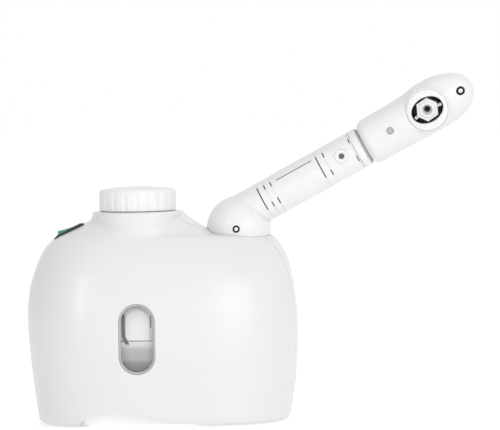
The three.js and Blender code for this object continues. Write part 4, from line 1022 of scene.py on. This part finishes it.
head_outer = loft([head_ring(x, 0.08) for x in head_levels()])
head_hollow = loft([head_ring(x, HEAD_WALL, 48) for x in np.linspace(HEAD_START + 3, 209, 20)])
head_core = loft([head_ring(x, 0.45, 64) for x in np.linspace(HEAD_START - 1, HEAD_TIP - 1, 60)])
LAND_RADIUS = BEZEL_RADIUS + 1.3
land = turned([(0, -4), (LAND_RADIUS, -4), (LAND_RADIUS, -16.6, 0.9), (0, -16.6)], axis="Y")
moved(land, at(BEZEL_X, 0, BEZEL_Z))
rib = common(rod("X", 0, 0, 129, 131.4, 25), copy_of(head_outer))
screw_x, screw_y, screw_z = TIP_SCREW
tip_boss = common(rod("Y", screw_x, screw_z, -16, 16, 4.6), copy_of(head_outer))
head_shell = join(cut(head_outer, copy_of(head_hollow)), rib, cut(land, head_hollow), tip_boss)
head_shell = cut(
    head_shell,
    cut(box(*HEAD_SPAN, -0.4, 0.4, -40, 40), head_core),
    rod("X", 0, 0, 120, 132, INNER_RADIUS + 0.4, segments=96),
    rod("Y", BEZEL_X, BEZEL_Z, -40, -8, BEZEL_RADIUS + 0.12, segments=96),
    rod("Y", screw_x, screw_z, -30, screw_y + 2.8, 3.6),
    rod("Y", screw_x, screw_z, -30, 6, 1.8),
    rod("Y", PLUG[0], PLUG[2], -30, -10, 2.9),
)
head_back = common(copy_of(head_shell), half_space(1, *HEAD_SPAN))
head_face = common(head_shell, half_space(-1, *HEAD_SPAN))
finished(head_face, "head_face", "head_front", HEAD_PLACE, HEAD_WHITE)
finished(head_back, "head_back", "head_rear", HEAD_PLACE, HEAD_WHITE)
screw = screw_head(3.3, 2.64, 1.5, 4 - screw_y, 1.7)
finished(screw, "tip_screw", "head_screw", HEAD_PLACE @ at(*TIP_SCREW), BLACKENED_PAINTED_SHADE, painted_highlight_core=1.9)
plug = turned([(0, 0.15), (1.9, 0.0, 0.8), (2.7, 0.2, 0.35), (2.7, 4.8, 0.3), (0, 4.8)], 48, "Y")
finished(plug, "cover_plug", "head_plug", HEAD_PLACE @ at(*PLUG))


def oval_ring(y, grown):
    """The outlet's opening at one depth, grown a little where its edge is rounded."""
    angle = around(96)
    x, z = (OPENING_LONG + grown) * np.cos(angle), (OPENING_SHORT + grown) * np.sin(angle)
    return np.stack([x, np.full(len(angle), float(y)), z], 1)


bezel = turned(
    [(0, -11), (BEZEL_RADIUS, -11, 0.3), (BEZEL_RADIUS, BEZEL_FACE + 0.8, 0.7),
     (BEZEL_RADIUS - 2.4, BEZEL_FACE, 1.0), (0, BEZEL_FACE)], 96, "Y",
)
OUTLET_PLACE = HEAD_PLACE @ at(BEZEL_X, 0, BEZEL_Z)
OPENING_EDGE = ((-18, 1.2), (-17.2, 0.7), (-16.9, 0.3), (-16.4, 0.08), (-15.8, 0), (-10, 0))
opening = loft([oval_ring(y, grown) for y, grown in OPENING_EDGE])
finished(cut(bezel, opening), "outlet_bezel", "nozzle_bezel", OUTLET_PLACE)

cup = washer(
    [(14.4, -10.7), (13.6, CUP_BACK, 1.2), (6, CUP_BACK, 0.2), (6, CUP_BACK - 1.4, 0.2),
     (12.4, CUP_BACK - 1.4, 1.6), (13.3, -10.7, 0.3)], 96, "Y",
)
finished(cup, "outlet_cup", "nozzle_cup", OUTLET_PLACE)

nozzle = join(
    turned_by(rod("Y", 0, 0, CUP_BACK - 1.8, -12.4, 9.9, 9.5, 6), -6, "Y"),
    rod("Y", 0, 0, -12.3, -13.5, 6.6, 5.9, 64),
    rod("Y", 0, 0, CUP_BACK + 1.2, CUP_BACK - 2, 5.6, segments=64),
    *[turned_by(box(7, 12.2, -10.4, -1, -1.3, 1.3), degrees, "Y") for degrees in (8, 171)],
)
nozzle = soften(nozzle, 0.35)
nozzle = cut(nozzle, rod("Y", 0, 0, -20, -12.6, NOZZLE_BORE, segments=64))
nozzle = cut(
    nozzle,
    rod("Y", 0, 0, -13, -8.4, NOZZLE_BORE, NOZZLE_THROAT, 64),
    rod("Y", 0, 0, -9, 10, NOZZLE_THROAT, segments=64),
)
finished(nozzle, "steam_nozzle", "nozzle_tip", OUTLET_PLACE)

# ---- power switch

flange = [(-12.9, -0.7), (12.9, -0.7), (12.9, 0.4), (10, 1.6), (-10, 1.6), (-12.9, 0.4)]
housing = join(prism(flange, -9.4, 9.4), box(-10.6, 10.6, -6.9, 6.9, -16, 0))
housing = soften(cut(housing, box(-9.6, 9.6, -5.7, 5.7, -10.6, 3)), 0.5)
finished(housing, "switch_bezel", "switch_housing", SWITCH_PLACE)
right_end, left_end = arc(0, 0, ROCKER_REACH, -20, 22, 9), arc(0, 0, ROCKER_REACH, 158, 200, 9)
end_x, end_z = right_end[-1]
crown = [
    ((1 - t) ** 2 * end_x - t**2 * end_x, ((1 - t) ** 2 + t**2) * end_z + 2 * t * (1 - t) * ROCKER_DIP)
    for t in np.linspace(0, 1, 15)[1:-1]
]
rocker = soften(prism(right_end + crown + left_end + [(-3, -6), (3, -6)], -5.3, 5.3), 0.45)
rocker_turn = Matrix.Rotation(math.radians(ROCKER_REST), 4, "Y")
finished(rocker, "rocker_button", "power_rocker", SWITCH_PLACE @ at(0, 0, ROCKER_PIVOT_Z) @ rocker_turn)


# ---- the inner pieces, whose CAD shapes stay


def tank_with_painted_light():
    """Moulded tank: paler above the water line, darker towards the bottom below it; above the line a
    window-shaped patch of painted light ringed by painted shade, and dark bars of painted shade.
    """
    material, tree, shader = principled("tank_frosted_painted_light")
    shader.inputs["Roughness"].default_value = 0.25
    coordinates = tree.nodes.new("ShaderNodeTexCoord")
    split = tree.nodes.new("ShaderNodeSeparateXYZ")
    link(tree, coordinates.outputs["Object"], split.inputs["Vector"])
    across, up = split.outputs["X"], split.outputs["Z"]

    def ramp(value, stops):
        """Shades by place in millimetres, each a grey or a colour."""
        low, high = stops[0][0], stops[-1][0]
        node = tree.nodes.new("ShaderNodeValToRGB")
        elements = node.color_ramp.elements
        while len(elements) < len(stops):
            elements.new(0.5)
        for element, (place, shade) in zip(elements, stops):
            element.position = (place - low) / (high - low)
            element.color = (*(shade if isinstance(shade, tuple) else (shade,) * 3), 1)
        link(tree, remap(tree, value, low * MM, high * MM, 0, 1), node.inputs["Fac"])
        return node.outputs["Color"]

    def calc(operation, a, b=0.0):
        node = tree.nodes.new("ShaderNodeMath")
        node.operation = operation
        for socket, value in zip(node.inputs, (a, b)):
            if isinstance(value, float):
                socket.default_value = value
            else:
                link(tree, value, socket)
        return node.outputs["Value"]

    def window_of(value, low, high, soft):
        return ramp(value, [(low - soft, 0.0), (low, 1.0), (high, 1.0), (high + soft, 0.0)])

    below = ramp(
        up, [(40, 0.13), (47, (0.17, 0.158, 0.16)), (51, (0.24, 0.225, 0.228)), (54, (0.42, 0.395, 0.405)),
             (59, (0.42, 0.4, 0.408)), (61.5, 0.44), (65, 0.68), (68, 0.72)]
    )
    # Above the line the shade follows the distance from an arch with this middle and springing height:
    # painted light inside the window's outline, ringed by painted shade.
    arch_x, arch_spring = -19.2 * MM, 83.2 * MM
    from_middle = calc("POWER", calc("SUBTRACT", across, arch_x), 2.0)
    over_spring = calc("POWER", calc("MAXIMUM", calc("SUBTRACT", up, arch_spring), 0.0), 2.0)
    reach = calc("SQRT", calc("ADD", from_middle, over_spring))
    above = ramp(reach, [(0, 0.83), (8.8, 0.82), (9.3, 0.7), (9.8, 0.58), (10.6, 0.68), (13, 0.62)])
    above_line = ramp(up, [(66, 0.0), (68.1, 0.0), (68.5, 1.0), (70, 1.0)])
    shade = mixed(tree, above_line, below, above)

    # The long dark bar of painted shade leans over below this height, its outer edge less than its inner
    # one.
    shade_bar_foot = 72.2 * MM
    lean_by = calc("MULTIPLY", calc("MAXIMUM", calc("SUBTRACT", shade_bar_foot, up), 0.0), -0.5)
    inner, outer_edge = calc("ADD", across, lean_by), calc("ADD", across, calc("MULTIPLY", lean_by, 0.8))
    painted_shade_sides = calc(
        "MULTIPLY", ramp(outer_edge, [(-31.9, 0.0), (-31.3, 1.0)]), ramp(inner, [(-29.1, 1.0), (-28.5, 0.0)])
    )
    bar = calc("MULTIPLY", painted_shade_sides, window_of(up, 66.4, 88.5, 1.8))
    # A short bar of painted shade further right.
    short_painted_shade = calc("MULTIPLY", window_of(across, -9.0, -8.3, 0.35), window_of(up, 79, 88, 1.5))
    fading = ramp(across, [(-30, 1.0), (-20, 0.75), (-6, 0.6), (-4, 0.5)])
    line = calc("MULTIPLY", window_of(up, 68.0, 68.5, 0.35), fading)
    # Painted shade of the bars, with the dark water line.
    dark = calc("MAXIMUM", calc("MAXIMUM", bar, calc("MULTIPLY", short_painted_shade, 0.8)), line)
    color = mixed(tree, calc("MULTIPLY", dark, 0.98), shade, (0.008, 0.008, 0.01))
    link(tree, color, shader.inputs["Base Color"])
    return material


for name, node in frame["nodes"].items():
    node.data.materials.clear()
    node.data.materials.append(tank_with_painted_light() if name == "water_tank" else SLOT_MATERIAL[NODE_SLOT[name]])

# ---- stage, light and camera

# The floor is a light table: it glows, so its white doesn't depend on the lamps alone.
FLOOR_RADIUS = 12000
floor_material, floor_tree, floor_shader = principled("pale_floor")
floor_mottle = spread(floor_tree, noise(floor_tree, 2), 0, 1)
floor_color = mixed(floor_tree, floor_mottle, (0.49, 0.49, 0.49), (0.51, 0.51, 0.51))
link(floor_tree, floor_color, floor_shader.inputs["Base Color"])
floor_shader.inputs["Roughness"].default_value = 0.6
floor_shader.inputs["Emission Color"].default_value = (1, 1, 1, 1)
floor_shader.inputs["Emission Strength"].default_value = 0.54
floor = solid(level_ring(FLOOR_RADIUS, around(64), 0), [tuple(range(64))])
floor.name = "floor"
floor.data.materials.append(floor_material)

# The room is white behind and to the right, and darker in front and to the left.
scene = bpy.context.scene
scene.view_settings.view_transform = "Standard"
scene.world = bpy.data.worlds.new("studio")
scene.world.use_nodes = True
sky = scene.world.node_tree
background = sky.nodes["Background"]
background.inputs["Color"].default_value = (1, 1, 1, 1)
direction = sky.nodes.new("ShaderNodeTexCoord")
toward_light = sky.nodes.new("ShaderNodeVectorMath")
toward_light.operation = "DOT_PRODUCT"
toward_light.inputs[1].default_value = (0.6, 0.8, 0)
link(sky, direction.outputs["Generated"], toward_light.inputs[0])
brightness = remap(sky, toward_light.outputs["Value"], -1, 0.6, 0.25, 1)
link(sky, brightness, background.inputs["Strength"])


def lamp(name, kind, power, position, aim):
    """A light that shines along aim; its size is set by the caller."""
    data = bpy.data.lights.new(name, kind)
    data.energy = power
    light = bpy.data.objects.new(name, data)
    scene.collection.objects.link(light)
    light.location = position
    light.rotation_euler = Vector(aim).to_track_quat("-Z", "Y").to_euler()
    return data


def softbox(name, position, width, height, power):
    data = lamp(name, "AREA", power, position, Vector((0.05, 0.0, 0.12)) - Vector(position))
    data.shape = "RECTANGLE"
    data.size, data.size_y = width, height


softbox("key", (1.3, -1.95, 0.9), 1.3, 1.4, 12.5)
softbox("fill", (-1.39, -1.66, 0.85), 0.4, 1.2, 6)
softbox("front", (0.05, -3.4, 0.7), 4.0, 1.4, 18)
lamp("overhead", "SUN", 0.55, (0, 0, 0), (0.1, 0.7, -1)).angle = math.radians(60)

camera_data = bpy.data.cameras.new("camera")
camera = bpy.data.objects.new("camera", camera_data)
scene.collection.objects.link(camera)
# The camera stands 3 m in front and looks down by 2.4 degrees, with a slight roll.
CAMERA_AT = Vector((0.071, -3.0, 0.289))
LOOK_AT = Vector((0.071, 0.0, 0.1636))
VIEW_WIDTH = 0.400
ROLL = math.radians(1.0)
forward = (LOOK_AT - CAMERA_AT).normalized()
level_right = forward.cross(Vector((0, 0, 1))).normalized()
level_up = level_right.cross(forward)
right = level_right * math.cos(ROLL) - level_up * math.sin(ROLL)
up = level_up * math.cos(ROLL) + level_right * math.sin(ROLL)
camera.matrix_world = Matrix.Translation(CAMERA_AT) @ Matrix((right, up, -forward)).transposed().to_4x4()
camera_data.angle = 2 * math.atan(VIEW_WIDTH / 2 / (LOOK_AT - CAMERA_AT).length)
camera_data.clip_end = 100
scene.camera = camera
